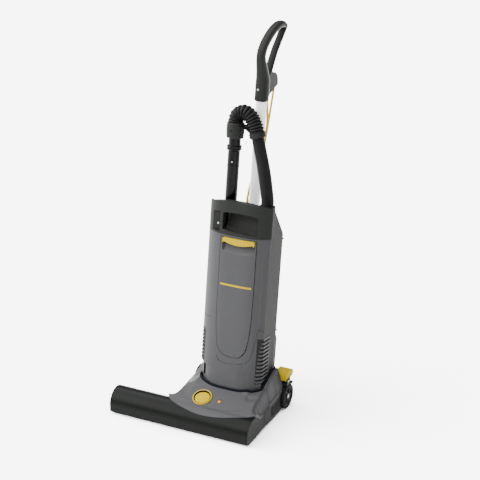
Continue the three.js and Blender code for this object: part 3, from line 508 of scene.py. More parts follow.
# ---- mains cable --------------------------------------------------------------------------------
def cable_line():
    """The whole lead: up from its gland, over the hook, down to the coil, and on to the plug."""
    climb = [
        (GLAND_X, GLAND_Y, GLAND_TOP), (61, 34.5, 515), (66, 37, 590), (87, 40, 690), (109, 41, 790),
        (108, 37.5, 860), (104, 32.3, 905),
    ]
    over = [(BODY_X, y, z) for y, z in arc(HOOK_Y, HOOK_Z, HOOK_BEND, 180, 0, 8)]
    fall = [
        (103.6, 84, 895), (103, 75, 850), (102, 66, 800), (99, 60, 750), (93, 57, 700),
        (83, 53, 640), (68, 50, 570), (52, 45, 500), (36, 37, 430), (25.5, 31.5, 380), (23, 30.7, 363),
    ]
    pitch = 7.2
    layers = 5
    radii = [69.4 - pitch * k for k in range(layers)]
    first = 30.6
    turns = []
    for k in range(layers):
        for j in range(layers):
            turns.append((radii[k], first + pitch * (j if k % 2 == 0 else layers - 1 - j)))
    wound = []
    steps = 24
    last = len(turns) - 1
    for n, (radius, y) in enumerate(turns):
        next_radius, next_y = turns[min(n + 1, last)]
        if n == last:
            next_y = 66.9
        for i in range(steps):
            t = i / steps
            move = smooth(0.72, 1.0, t)
            r = radius + (next_radius - radius) * move
            angle = math.pi + 2 * math.pi * t
            depth = y + (next_y - y) * move
            wound.append((COIL_X + r * math.cos(angle), depth, COIL_Z + r * math.sin(angle)))
    tail = [(51.4, 66.9, 330), (52, 67, 300), (56, 69, 268), (61, 74, 244), (62, 76, 232), (62, 77.2, 224)]
    return spline([*climb, *over, *fall], 6)[:-1] + [Vector(p) for p in wound] + spline(tail, 6)


def make_cable():
    line = [BODY @ p for p in cable_line()]
    data = bpy.data.curves.new("mains_lead", "CURVE")
    data.dimensions = "3D"
    data.bevel_depth = CABLE_R * MM
    data.bevel_resolution = 4
    data.use_fill_caps = True
    path = data.splines.new("POLY")
    path.points.add(len(line) - 1)
    for point, place in zip(path.points, line):
        point.co = (*place, 1)
    path.use_smooth = True
    lead = bpy.data.objects.new("mains_lead", data)
    bpy.context.scene.collection.objects.link(lead)
    data.materials.append(CABLE)
    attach(lead, "upright")
    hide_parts("mains_cable", "mains_cable_coil", "mains_cable_tail")

    hanging = BODY @ Matrix.Translation((62, 77.3, 223.6)) @ Matrix.Rotation(LEAN, 4, "X")
    ribs = []
    for i in range(6):
        z = -2 - i * 3.2
        r = 5.2 + i * 0.85
        ribs += [(r, z), (r + 0.7, z - 0.4), (r + 0.8, z - 1.8), (r, z - 2.2)]
    grip = [(3.7, 0), (5, 0), *ribs, (13.5, -22), (16.8, -25), (17.5, -30), (17.5, -47), (16, -51.5),
            (3.7, -51.5)]
    plug = as_object("plug_body", lathe(grip, "z", (0, 0)), hanging)
    combine(plug, [rod("z", (0, 0), 4.4, -53, -14)], hanging, "UNION")
    finish_piece(plug, BLACK, "black_plastic", "upright", "mains_plug", bevel=0.4)
    pins = joined(*[rod("z", (x, 0), 2.4, -70.5, -50, 24) for x in (-9.5, 9.5)])
    pins = piece("plug_pins", pins, hanging, BRASS, "steel", "upright", bevel=0.6)

    collar = [
        (3.7, 470), (4.6, 470), (4.9, 466), (4.4, 465.4), (5.3, 461), (4.8, 460.4), (5.8, 456),
        (5.3, 455.4), (6.4, 451), (5.9, 450.4), (7, 446), (7.4, 437), (3.7, 437),
    ]
    gland = as_object("cable_gland_looks", block((50, 70), (BODY_BACK + 0.3, 43), (402, 436)), BODY)
    relief = as_object("strain_relief", lathe(collar, "z", (GLAND_X, GLAND_Y), 48), BODY)
    combine(relief, [rod("z", (GLAND_X, GLAND_Y), 7.4, 434, 439)], BODY, "UNION")
    finish_piece(gland, BLACK, "black_plastic", "upright", "cable_gland", bevel=2.2, segments=4)
    finish_piece(relief, HOSE, "black_plastic", "upright", bevel=0.3)
    round_coil = [
        *arc(31, COIL_Z - 70, 7.6, 270, 180, 6), *arc(31, COIL_Z - 40.6, 7.6, 180, 90, 6),
        *arc(59, COIL_Z - 40.6, 7.6, 90, 0, 6), *arc(59, COIL_Z - 70, 7.6, 0, -90, 6),
        (45, COIL_Z - 77.6), (31.2, COIL_Z - 77.6),
    ]
    strap = [Vector((COIL_X + 0.6, y, z)) for y, z in round_coil]
    tie = sweep(strap, lambda i, t: squircle(4.5, 0.7, 6, 16), up=(0, -1, 0))
    tie = piece("cable_tie", tie, BODY, RUBBER, "rubber", "upright")


# ---- studio -------------------------------------------------------------------------------------
def make_studio():
    half = 14
    bm = bmesh.new()
    corners = [(-half, -half, 0), (half, -half, 0), (half, half, 0), (-half, half, 0)]
    bm.faces.new([bm.verts.new(c) for c in corners])
    floor = as_object("studio_floor", bm, Matrix.Identity(4))
    floor.data.materials.append(FLOOR)

    world = bpy.data.worlds.new("studio_air")
    world.use_nodes = True
    air = world.node_tree.nodes["Background"]
    air.inputs["Color"].default_value = (1, 1, 1, 1)
    air.inputs["Strength"].default_value = 0.4
    bpy.context.scene.world = world
    suns = [("overhead", (-0.35, -0.25, 1.0), 21.0, 110), ("left_front", (-1.0, -0.45, 0.55), 9.0, 50)]
    for name, towards, power, width in suns:
        data = bpy.data.lights.new(name, "SUN")
        data.energy = power
        data.angle = math.radians(width)
        light = bpy.data.objects.new(name, data)
        light.location = Vector(towards) * 3
        light.rotation_euler = Vector(towards).to_track_quat("Z", "Y").to_euler()
        bpy.context.scene.collection.objects.link(light)


# ---- head: brush housing and cover ---------------------------------------------------------------
def arch(radius, bottom, steps=64):
    return [
        (ARCH_Y - radius, bottom),
        *arc(ARCH_Y, ARCH_Z, radius, 180, 0, steps),
        (ARCH_Y + radius, bottom),
    ]


def make_brush_housing():
    end = HOUSING_HALF - WALL - 0.3
    section = [*arch(ARCH_R, HOUSING_BOTTOM), *reversed(arch(ARCH_R - WALL, HOUSING_BOTTOM))]
    shell = as_object("brush_housing_looks", prism(section, "x", -end, end), HEAD)
    combine(shell, [block((HEAD_LEFT + 3, HEAD_RIGHT), (75, 95), (0, 58))], HEAD)
    finish_piece(shell, SATIN, "housing_black", "head", "brush_housing", bevel=0.9, segments=3)

    left = prism(arch(ARCH_R, HOUSING_BOTTOM), "x", -HOUSING_HALF, -HOUSING_HALF + WALL)
    bearing = [(7, -237.5), (13, -237.5), (13, -226), (7, -226)]
    left = joined(left, lathe(bearing, "x", BRUSH_AXIS, 32))
    piece("left_end_cap_looks", left, HEAD, SATIN, "housing_black", "head", "left_end_cap",
          bevel=2.4, segments=4)

    side = [
        (0, HOUSING_BOTTOM), *arc(ARCH_Y, ARCH_Z, ARCH_R, 180, 62, 48), (86, 53.6), (102, 55.6), (117, 57.4),
        (117, 10), (100, 9), (60, 6),
    ]
    right = prism(side, "x", HOUSING_HALF - WALL, HOUSING_HALF)
    inner = [(4.3, 232), (9, 232), (9, 237.5), (4.3, 237.5)]
    right = joined(right, lathe(inner, "x", BRUSH_AXIS, 32))
    piece("right_end_cap_looks", right, HEAD, DARK, "dark_plastic", "head", "right_end_cap",
          bevel=1.1, segments=3)
    refined("sole_plate", BLACK, 0.8)


def cover_height(x, y):
    """The grey cover: over the brush housing, up to the body's foot, and down to the side seams."""
    if y < ARCH_Y:
        reach = min(ARCH_R, ARCH_Y - y)
        height = ARCH_Z + math.sqrt(ARCH_R**2 - reach**2) + 2.6
    else:
        height = between(COVER_RISE, y)
    if x < 0:
        height += 0.75 * x * smooth(60, 170, y)
    seam = between([(60, 79), (90, 60), (160, 66), (234, 72), (300, 78)], y)
    roll = max(smooth(216, HEAD_RIGHT, x), 1 - smooth(HEAD_LEFT - 4, -32, x))
    height -= max(0, height - seam) * roll * smooth(45, 90, y)
    step_y = between([(182, 158), (192, 167), (214, 178), (228, 172), (240, 160)], x)
    height -= 4.2 * smooth(-1.5, 3.5, step_y - y) * smooth(176, 188, x) * smooth(96, 116, y)
    spot = math.hypot(x - 226, (y - 212) * 0.7)
    height -= 5.5 * (1 - smooth(4, 11, spot))
    dish = 1 - ((x - 92) / 128) ** 2 - ((y - 90) / 50) ** 2
    return height - 1.6 * smooth(0.0, 0.3, dish)


def height_block(top, x_span, y_span, columns, rows, bottom):
    bm = bmesh.new()
    above, below = [], []
    for j in range(rows + 1):
        y = y_span[0] + (y_span[1] - y_span[0]) * j / rows
        xs = [x_span[0] + (x_span[1] - x_span[0]) * i / columns for i in range(columns + 1)]
        above.append([bm.verts.new((x, y, top(x, y))) for x in xs])
        below.append([bm.verts.new((x, y, bottom)) for x in xs])
    for level in (above, below):
        for j in range(rows):
            for i in range(columns):
                face = (level[j][i], level[j][i + 1], level[j + 1][i + 1], level[j + 1][i])
                bm.faces.new(face)
    rim = [(0, i) for i in range(columns)]
    rim += [(j, columns) for j in range(rows)]
    rim += [(rows, i) for i in range(columns, 0, -1)]
    rim += [(j, 0) for j in range(rows, 0, -1)]
    for (j0, i0), (j1, i1) in zip(rim, rim[1:] + rim[:1]):
        bm.faces.new((above[j0][i0], above[j1][i1], below[j1][i1], below[j0][i0]))
    bmesh.ops.recalc_face_normals(bm, faces=bm.faces)
    return bm


def well_line(room, back):
    """The opening round the body's foot, seen from above, from its left back to its right back."""
    half = BODY_HALF + room
    front = []
    for x, y in front_curve(0, 0):
        wide = BODY_X + (x - BODY_X) * half / BODY_HALF
        front.append((wide, PIVOT_Y + y * math.cos(LEAN) - room + 1))
    return [(BODY_X - half, back), *front, (BODY_X + half, back)]


def on_cover(x, y, radius, low, high):
    """A rod square to the sloping cover."""
    slope = Matrix.Translation((x, y, cover_height(x, y))) @ Matrix.Rotation(COVER_SLOPE, 4, "X")
    tool = rod("z", (0, 0), radius, low, high, 64)
    tool.transform(slope)
    return tool


def make_cover():
    top = height_block(cover_height, (-70, 242), (10, 302), 156, 146, 40)
    cover = as_object("head_cover_looks", top, HEAD)
    inside = height_block(
        lambda x, y: cover_height(x, y) - WALL,
        (HEAD_LEFT + WALL, HEAD_RIGHT - WALL), (0, HEAD_BACK - WALL), 60, 60, 30,
    )
    edge = spline(
        [(-64, 66, 0), (-52, 47, 0), (-27, 33, 0), (3, 24, 0), (35, 18, 0), (70, 15, 0), (104, 16, 0),
         (138, 20, 0), (170, 27, 0), (198, 36, 0), (222, 46, 0), (240, 57, 0)],
        6,
    )
    outline = [(p.x, p.y) for p in edge]
    outline += [(240, 291), (232, 300), (-50, 300), (HEAD_LEFT, 290), (HEAD_LEFT, 96), (-64, 76)]
    combine(cover, [prism(outline, "z", 35, 170)], HEAD, "INTERSECT")
    seam = [(60, 0), (60, 74.6), (87, 54.4), (121, 58.7), (160, 61.5), (234, 67.5), (310, 73.5), (310, 0)]
    tools = [
        inside,
        prism(arch(ARCH_R + 0.3, 0), "x", -300, 300),
        prism(seam, "x", -300, 300),
        prism(well_line(8.6, HEAD_BACK + 20), "z", 30, 170),
        rod("x", WHEEL_AXIS, 44, 224, 260, 64),
        rod("x", WHEEL_AXIS, 44, -80, -42, 64),
        on_cover(KNOB_X, KNOB_Y, 30.7, -30, 30),
        on_cover(INDICATOR_X, INDICATOR_Y, 4.9, -30, 30),
        block((203, 252), (264, 310), (60, 160)),
    ]
    combine(cover, tools, HEAD)
    finish_piece(cover, GREY, "grey_plastic", "head", "head_cover", bevel=1.1, segments=3, crease=42)

    bead = squircle(2.4, 6.2, 3, 20)
    route = even([Vector((x, y, 0)) for x, y in well_line(5.6, 262)], 3)
    rings = []
    for i, p in enumerate(route):
        along = (route[min(i + 1, len(route) - 1)] - route[max(i - 1, 0)]).normalized()
        out = Vector((along.y, -along.x, 0))
        level = cover_height(min(208, max(0, p.x)), p.y) - 0.6
        rings.append([p + out * a + Vector((0, 0, level + b)) for a, b in bead])
    piece("seal_looks", loft(rings), HEAD, RUBBER, "rubber", "head", "rubber_seal", crease=60)


def seat(x, y, tilt=0.0):
    """Lying on the cover: a frame in millimetres with its z square to the surface."""
    place = Matrix.Translation((x, y, between(COVER_RISE, y)))
    return HEAD @ place @ Matrix.Rotation(COVER_SLOPE - math.radians(tilt), 4, "X")


def make_knob():
    """The dial lies a little below its ring, and flatter than the cover."""
    rim = [(27.2, -3.4), (30.3, -3.4), (30.4, 0.6), (29.6, 1.5), (28.2, 1.5), (27.2, 0.4)]
    place = seat(KNOB_X, KNOB_Y)
    ring = as_object("knob_ring_looks", lathe(rim, "z", (0, 0), 96), place)
    combine(ring, [block((-2, 2), (24, 34), (-0.2, 4))], place)
    finish_piece(ring, RING, "knob_ring", "head", "knob_ring", bevel=0.4)
    wall = [(26.4, -4.6), (27.1, -4.6), (27.1, 0.3), (26.4, 0.3)]
    piece("knob_well", lathe(wall, "z", (0, 0), 96), place, BLACK, "black_plastic", "head")
    face = [(0.01, -4.4), (23.6, -4.4), (23.9, -3.2), (23.6, -2.2), (22.8, -1.7), (19, -1.5), (0.01, -1.4)]
    leaning = seat(KNOB_X, KNOB_Y, 5)
    dial = as_object("height_knob_looks", lathe(face, "z", (0, 0), 96), leaning)
    spine = [Vector((x, 0, -1.6)) for x in (-17, -16, 12, 18)]
    half_wide = [2.4, 3, 3, 0.6]
    half_high = [1.0, 1.5, 1.5, 0.9]
    bar = sweep(spine, lambda i, t: squircle(half_wide[i], half_high[i], 2.4, 20), up=(0, 0, 1))
    combine(dial, [bar], leaning, "UNION")
    finish_piece(dial, YELLOW, "yellow_plastic", "knob", "height_knob", crease=30)
    lamp = [(0.01, -5), (4.5, -5), (4.6, 0), (4.2, 0.7), (2.4, 1.3), (0.01, 1.5)]
    place = seat(INDICATOR_X, INDICATOR_Y)
    piece("indicator_looks", lathe(lamp, "z", (0, 0), 32), place, ORANGE, "knob_ring", "head",
          "brush_indicator")
    dot = [(0.01, 1.2), (1.4, 1.2), (1.3, 1.75), (0.01, 1.85)]
    piece("indicator_dot", lathe(dot, "z", (0, 0), 24), place, BLACK, "black_plastic", "head")
    pointer = prism([(-3.2, 6.4), (3.2, 6.4), (0, 11)], "z", -1.6, -0.9)
    piece("indicator_pointer", pointer, place, BLACK, "black_plastic", "head")


def make_chassis():
    refined("lower_chassis", DARK, 0.9, 3)
    refined("side_vent", BLACK, 0.7)
    refined("pedal_bracket", BLACK, 0.8)
    side = [(266, 97), (288, 94), (311, 97), (322, 105), (321, 116), (304, 126), (282, 127), (266, 119)]
    piece("foot_pedal_looks", prism(side, "x", 206, 247), HEAD, YELLOW, "yellow_plastic", "pedal",
          "foot_pedal", bevel=4.0, segments=5)
    tab = prism([(300, 74), (306, 70), (316, 72), (317, 77), (308, 80)], "x", 236, 248)
    piece("pedal_stop", tab, HEAD, BLACK, "black_plastic", "head", bevel=1.2)
    for node in ("wheel_axle", "pedal_pin", "roller_yoke", "pivot_pin_left", "pivot_pin_right"):
        refined(node, STEEL, 0.5)
    refined("brush_motor", ALLOY, 1.2)
    refined("motor_pulley", ALLOY, 0.6)
    refined("drive_belt", RUBBER, 0.5)


def make_wheels():
    wheel_y, wheel_z = WHEEL_AXIS
    for side, low in WHEEL_LOW.items():
        high = low + WHEEL_WIDTH
        tread = [
            (31.3, low + 1), (37.5, low + 1), (39.4, low + 1.8), (40, low + 3.6), (40, low + 6.5),
            (39.2, low + 7), (39.2, low + 7.8), (40, low + 8.3), (40, low + 13.7), (39.2, low + 14.2),
            (39.2, low + 15), (40, low + 15.5), (40, high - 3.6), (39.4, high - 1.8), (37.5, high - 1),
            (31.3, high - 1),
        ]
        piece(f"tyre_{side}", lathe(tread, "x", WHEEL_AXIS, 96), HEAD, TYRE, "tyre", f"{side}_wheel",
              f"wheel_tyre_{side}", crease=50)
        face = [
            (6.3, low), (11, low), (12, low + 5), (25.5, low + 5), (27, low), (31, low), (31, high),
            (28, high), (26.4, high - 5), (13, high - 6), (11.6, high), (6.3, high),
        ]
        hub = lathe(face, "x", WHEEL_AXIS, 96)
        for k in range(6):
            spoke = block((low + 2, high - 1.4), (9, 28), (-2, 2))
            turn = Matrix.Rotation(math.radians(60 * k), 4, "X")
            spoke.transform(Matrix.Translation((0, wheel_y, wheel_z)) @ turn)
            hub = joined(hub, spoke)
        piece(f"hub_{side}", hub, HEAD, DARK, "dark_plastic", f"{side}_wheel", f"wheel_hub_{side}",
              bevel=0.7)
        x = ROLLER_LOW[side]
        end = x + ROLLER_WIDTH
        roll = [(3.3, x), (11, x), (12, x + 1.4), (12, end - 1.4), (11, end), (3.3, end)]
        piece(f"roller_{side}_looks", lathe(roll, "x", ROLLER_AXIS, 64), HEAD, TYRE, "rubber",
              f"{side}_roller", f"front_roller_{side}", crease=50)


def make_brush():
    refined("brush_core", BLACK, 0.8)
    random.seed(7)
    first, last = -210, 202
    axis = Vector((0, *BRUSH_AXIS))
    tufts = lathe([(14.3, first), (15.5, first), (15.5, last), (14.3, last)], "x", BRUSH_AXIS, 48)
    count = 64
    for strand in range(2):
        for i in range(count):
            t = (i + 0.5) / count
            x = first + t * (last - first)
            turn = math.pi * strand + 3 * math.pi * abs(t - 0.5)
            root = Vector((x, 0, 0))
            out = Vector((0, math.cos(turn), math.sin(turn)))
            for _ in range(5):
                lean = Vector([random.uniform(-1, 1) for _ in range(3)]) * 2.2
                tip = root + out * (31.6 - random.random()) + lean * 0.8
                base = root + out * 14.8 + lean
                base += axis
                tip += axis
                bristle = [base, base.lerp(tip, 0.5), tip]
                hair = sweep(bristle, lambda k, t: circle(1.0 + 0.35 * k, 6), up=(1, 0.01, 0))
                tufts = joined(tufts, hair)
    piece("brush_tufts", tufts, HEAD, BRISTLE, "bristle", "brush", "brush_bristles", crease=60)


# ---- body: shells, door and top cover ------------------------------------------------------------
DOOR_TOP = 478
DOOR_BOTTOM = 101
SEAM_Y = -78
VENT_TOP = 167.6
VENT_BACK = -32.4


def door_outline(grow, steps=14):
    left = 52 - grow
    right = 170 + grow
    bottom = DOOR_BOTTOM - grow
    lower = [
        (left + 2, 200, 0), (left + 8, 150, 0), (left + 17, 118, 0), (left + 32, bottom + 5, 0),
        (left + 52, bottom, 0), (right - 50, bottom, 0), (right - 31, bottom + 3, 0),
        (right - 15, bottom + 22, 0), (right - 6, 160, 0), (right - 1, 230, 0),
    ]
    curve = [(p.x, p.y) for p in spline(lower, steps)]
    return [(left, DOOR_TOP + grow), (left, 290), *curve, (right, 300), (right, DOOR_TOP + grow)]


def front_band(outside, inside, x0=None, x1=None, steps=40):
    """The bulged front between two offsets, seen from above, over part of its width."""
    if x0 is None:
        return [*front_curve(outside), *reversed(front_curve(inside))]
    xs = [x0 + (x1 - x0) * i / steps for i in range(steps + 1)]
    near = [(x, front_y(x, outside)) for x in xs]
    far = [(x, front_y(x, inside)) for x in reversed(xs)]
    return [*near, *far]


def engrave(obj, line, radius=1.2, rise=0.2):
    """A groove along (x, z) points on the bulged front."""
    route = [Vector((x, front_y(x) + rise, z)) for x, z in line]
    route = spline(route, 8)
    combine(obj, [sweep(route, lambda i, t: circle(radius, 8), up=(0, 1, 0))], BODY)


def side_band(outward, depth, y_front, y_back, right):
    """A strip round the front corner and along one side, seen from above."""

    def edge(d):
        half = BODY_HALF + d + (0 if right else LEFT_OUT)
        points = []
        for i in range(25):
            y = y_front + (BODY_SIDE - y_front) * i / 24
            u = min(1, max(0, (y - BODY_FRONT + d) / (BODY_SIDE - BODY_FRONT))) ** (1 / 3.5)
            points.append((BODY_X + half * u, y))
        return [*points, (BODY_X + half, y_back)]

    outline = [*edge(outward), *reversed(edge(outward - depth))]
    return outline if right else [(2 * BODY_X - x, y) for x, y in outline]


def shell_wall(out, low, high):
    """The front half's wall between its two seams, as a ring open to the back."""
    left = BODY_X - BODY_HALF - out
    right = BODY_X + BODY_HALF
    outer = [(left, SEAM_Y), *front_curve(0, out), (right, SEAM_Y)]
    inner = [(right - WALL, SEAM_Y), *reversed(front_curve(WALL, out)), (left + WALL, SEAM_Y)]
    return prism([*outer, *inner], "z", low, high)


def make_front_shell():
    shell = as_object("front_shell_looks", shell_wall(LEFT_OUT, SHOULDER, SHELL_TOP), BODY)
    ledge = [(-4, SEAM_Y), (-4, BODY_SIDE), *front_curve(0)[1:12], (40, -100), (12, -82), (12, SEAM_Y)]
    combine(shell, [shell_wall(0, -12, SHOULDER + WALL)], BODY, "UNION")
    combine(shell, [prism(ledge, "z", SHOULDER, SHOULDER + WALL)], BODY, "UNION")
    windows = [block(x, (-96, -32), (18, 168)) for x in ((BODY_X + 62, 230), (-30, BODY_X - 62))]
    combine(shell, [prism(door_outline(1.0), "y", -140, -60), *windows], BODY)
    engrave(shell, [(203.4, 190), (198, 195), (190, 198)])
    engrave(shell, [(190, 198), (186, 176), (182, 150), (178, 123), (170, 98), (158, 88), (147, 84),
                    (120, 80), (88, 78), (72, 84), (62, 98)])
    engrave(shell, [(5, 213), (14, 213), (26, 214), (36, 215)])
    finish_piece(shell, GREY, "grey_plastic", "upright", "front_shell", bevel=0.8, segments=3)

    for right, side in ((False, "left"), (True, "right")):
        bottom = 18.4 if right else SHOULDER + 4
        count = 12 if right else 9
        pitch = (VENT_TOP - bottom) / count
        fins = []
        for i in range(count):
            low = bottom + pitch * i
            reach = -94 + (16 if right else 4) * (i / count) ** 2
            band = side_band(1.0, 4.0, reach, -35, right)
            fins.append(prism(band, "z", low + pitch * 0.45, low + pitch * 0.95))
        rim = prism(side_band(0, 2.6, -36, VENT_BACK, right), "z", bottom, VENT_TOP)
        foot = prism(side_band(0, 2.6, -95.6, VENT_BACK, right), "z", bottom, bottom + 2.5)
        grille = joined(rim, foot, *fins)
        piece(f"vent_fins_{side}", grille, BODY, GREY, "dark_plastic", "upright", f"vent_grille_{side}",
              bevel=0.5, segments=2)
        back_plate = prism(side_band(-2.0, 1.5, -95.6, VENT_BACK, right), "z", bottom, VENT_TOP)
        piece(f"vent_back_{side}", back_plate, BODY, BLACK, "dark_plastic", "upright")
    closing = [(4.2, -84), (12, -95), (14, -92), (7, -80), (7, -33), (4.2, -33)]
    piece("vent_foot_left", prism(closing, "z", 18.4, SHOULDER + WALL), BODY, GREY, "dark_plastic",
          "upright", bevel=0.5)


def make_door():
    door = as_object("filter_door_looks", prism(front_band(-1, 2.5), "z", 90, 490), BODY)
    combine(door, [prism(door_outline(-0.7), "y", -140, -60)], BODY, "INTERSECT")
    xs = [55 + 113 * i / 24 for i in range(25)]
    tray = [*[(x, front_y(x) + 0.5) for x in xs], (168, -97), (55, -97)]
    combine(door, [prism(tray, "z", 428, DOOR_TOP - 0.3)], BODY, "UNION")
    rings = []
    for i in range(41):
        x = 58 + 107.5 * i / 40
        u = (x - 112) / 53.8
        edge = smooth(0, 0.1, 1 - abs(u))
        low = 430 + 5.5 * u * u + 8 * (1 - edge)
        y = front_y(x, -1)
        depth = 1.5 + 12 * edge
        rings.append([
            (x, y - 9, low - 1.5), (x, y, low), (x, y + depth * 0.55, low + 9), (x, y + depth, low + 25),
            (x, y + depth, 485), (x, y - 9, 485),
        ])
    combine(door, [loft(rings)], BODY)
    finish_piece(door, GREY, "grey_plastic", "door", "filter_door", bevel=0.9, segments=3)

    grip = as_object("door_latch_looks", prism(front_band(-4, 5.5), "z", 440, 500), BODY)
    corner = 4
    bar = [
        *arc(60 + corner, 477.5 - corner, corner, 90, 180, 6), (60, 463), (62, 460.6),
        *arc(112, 600, 142.5, 250.5, 289.5, 24), (162, 460.6), (164, 463),
        *arc(164 - corner, 477.5 - corner, corner, 0, 90, 6),
    ]
    combine(grip, [prism(bar, "y", -140, -80)], BODY, "INTERSECT")
    finish_piece(grip, YELLOW, "yellow_plastic", "latch", "door_latch", bevel=1.8, segments=4)

    stripe = prism(front_band(-1.45, -0.85, 60.6, 163), "z", 326.8, 332.6)
    piece("door_stripe", stripe, BODY, YELLOW, "yellow_plastic", "door", bevel=0.15)


def make_top_cover():
    low = 485
    left = BODY_X - BODY_HALF - LEFT_OUT
    right = BODY_X + BODY_HALF
    plan = [*front_curve(0), (right, -57), (left, -57)]
    cover = as_object("top_cover_looks", prism(plan, "z", low, 598), BODY)
    bow = arc(BODY_X, 117, 473, 78.5, 103.2, 40)
    crown = [(-14, low - 1), (215, low - 1), (215, 579), (206, 584), *bow, (-14, 573)]
    ramp = [(-140, low - 1), (-50, low - 1), (-50, 562), (-57, 562), (-88, 600), (-140, 600)]
    for tool in (prism(crown, "y", -140, -50), prism(ramp, "x", -10, 220)):
        combine(cover, [tool], BODY, "INTERSECT")
    inner = [(x, max(-90, y)) for x, y in front_curve(WALL)]
    inner += [(right - WALL, -50), (left + WALL, -50)]
    recess = [
        *arc(61, 548, 6, 90, 180, 5), (55, 504), *arc(58.5, 503.5, 3.5, 180, 250, 4), (78, 497.5),
        (112, 495), (150, 493.6), *arc(166, 497, 3.5, 280, 360, 4), (169.5, 546),
        *arc(163.5, 546.5, 6, 0, 90, 5), (138, 555.5), (112, 556.4), (86, 556),
    ]
    switch_hole = [(13, 491), (44.5, 491), (44.5, 551), (40, 553), (20, 551.5), (13, 548)]
    tools = [
        prism(inner, "z", low + 5, 620),
        prism(recess, "y", -130, -86),
        prism(switch_hole, "y", -130, -98.5),
        rod("z", (WAND_X, WAND_Y), 18.9, low - 5, 620),
        rod("z", (PORT_X, PORT_Y), 22.4, low - 5, 560),
        rod("z", (PORT_X, PORT_Y), 26, 550, 620),
        rod("z", (BODY_X, 0), 22, low - 5, 620),
    ]
    combine(cover, tools, BODY)
    finish_piece(cover, BLACK, "black_plastic", "upright", "top_cover", bevel=1.5, segments=3)

    scoop = [(-110, 487)]
    for i in range(17):
        t = math.pi / 2 * i / 16
        scoop.append((-111 + 40 * math.sin(t), 549 - 54 * math.cos(t)))
    scoop += [(-70, 558), (-67, 558), (-67, 487)]
    wall = as_object("grip_scoop", prism(scoop, "x", 56, 168.5), BODY)
    slit = [*arc(126, 575, 30, 238, 302, 10), (142, 562), (110, 562)]
    combine(wall, [prism(slit, "y", -120, -60)], BODY)
    outer = prism([(56, 487), (168.5, 487), (168.5, 560), (56, 560)], "y", -103, -60)
    combine(wall, [outer], BODY, "INTERSECT")
    finish_piece(wall, BLACK, "black_plastic", "upright", bevel=0.8, segments=3)

    rocker = [(-98, 526.5), (-98, 547.5), (-105, 548), (-102.2, 537), (-101.4, 526)]
    piece("switch_rocker_looks", prism(rocker, "x", 28, 41), BODY, BLACK, "black_plastic", "rocker",
          "switch_rocker", bevel=0.9, segments=3)
    bezel = [(3.3, -98.6), (4.6, -98.6), (4.4, -99.8), (3.5, -100)]
    piece("lamp_bezel", lathe(bezel, "y", (34, 512), 32), BODY, BLACK, "black_plastic", "upright")
    dome = [(0.01, -98), (3.2, -98), (3.2, -99.6), (2.6, -101), (1.4, -101.8), (0.01, -102)]
    piece("indicator_lamp_looks", lathe(dome, "y", (34, 512), 32), BODY, LENS, "lamp", "upright",
          "indicator_lamp")


def make_rear():
    refined("rear_shell", DARK, 2.2, 4)
    refined("swivel_drum", DARK, 0.6)
    refined("suction_motor", ALLOY, 3.0, 3)
    refined("fan_impeller", DARK, 0.8)
    rings = []
    rows = 40
    for j in range(rows + 1):
        t = j / rows
        z = 187 + 242 * t
        fold = 1 - 0.16 * math.exp(-((t * 18) ** 2)) - 0.16 * math.exp(-(((1 - t) * 18) ** 2))
        ring = []
        for a, b in squircle(70 * fold, 36 * fold, 5, 64):
            p = Vector((BODY_X + a, -61 + b, z))
            crease = noise.noise(Vector((p.x * 0.03, p.y * 0.03, z * 0.05))) * 1.4
            ring.append((BODY_X + a * (1 + crease / 70), -61 + b * (1 + crease / 40), z))
        rings.append(ring)
    bag = piece("filter_bag_looks", loft(rings), BODY, PAPER, "bag_cloth", "upright", "filter_bag",
                bevel=0.6, crease=50)


# ---- wand, hoses and handle ----------------------------------------------------------------------
def hose(name, points, radius, bore, pitch, depth, node, sides=40, per_rib=6):
    """A ribbed hose: rounded ribs with narrow grooves between them."""
    line = even(spline(points, 12), pitch / per_rib)
    frames = frames_along(line, (0, 1, 0))
    rings = []
    for i, (p, side, up) in enumerate(frames):
        phase = (i % per_rib) / per_rib
        r = radius - depth * (1 - math.sin(math.pi * phase) ** 0.7)
        rings.append([p + side * a + up * b for a, b in circle(r, sides)])
    for p, side, up in (frames[-1], frames[0]):
        rings.append([p + side * a + up * b for a, b in circle(bore, sides)])
    return piece(name, loft(rings, loop=True), BODY, HOSE, "black_plastic", "upright", node, crease=80)


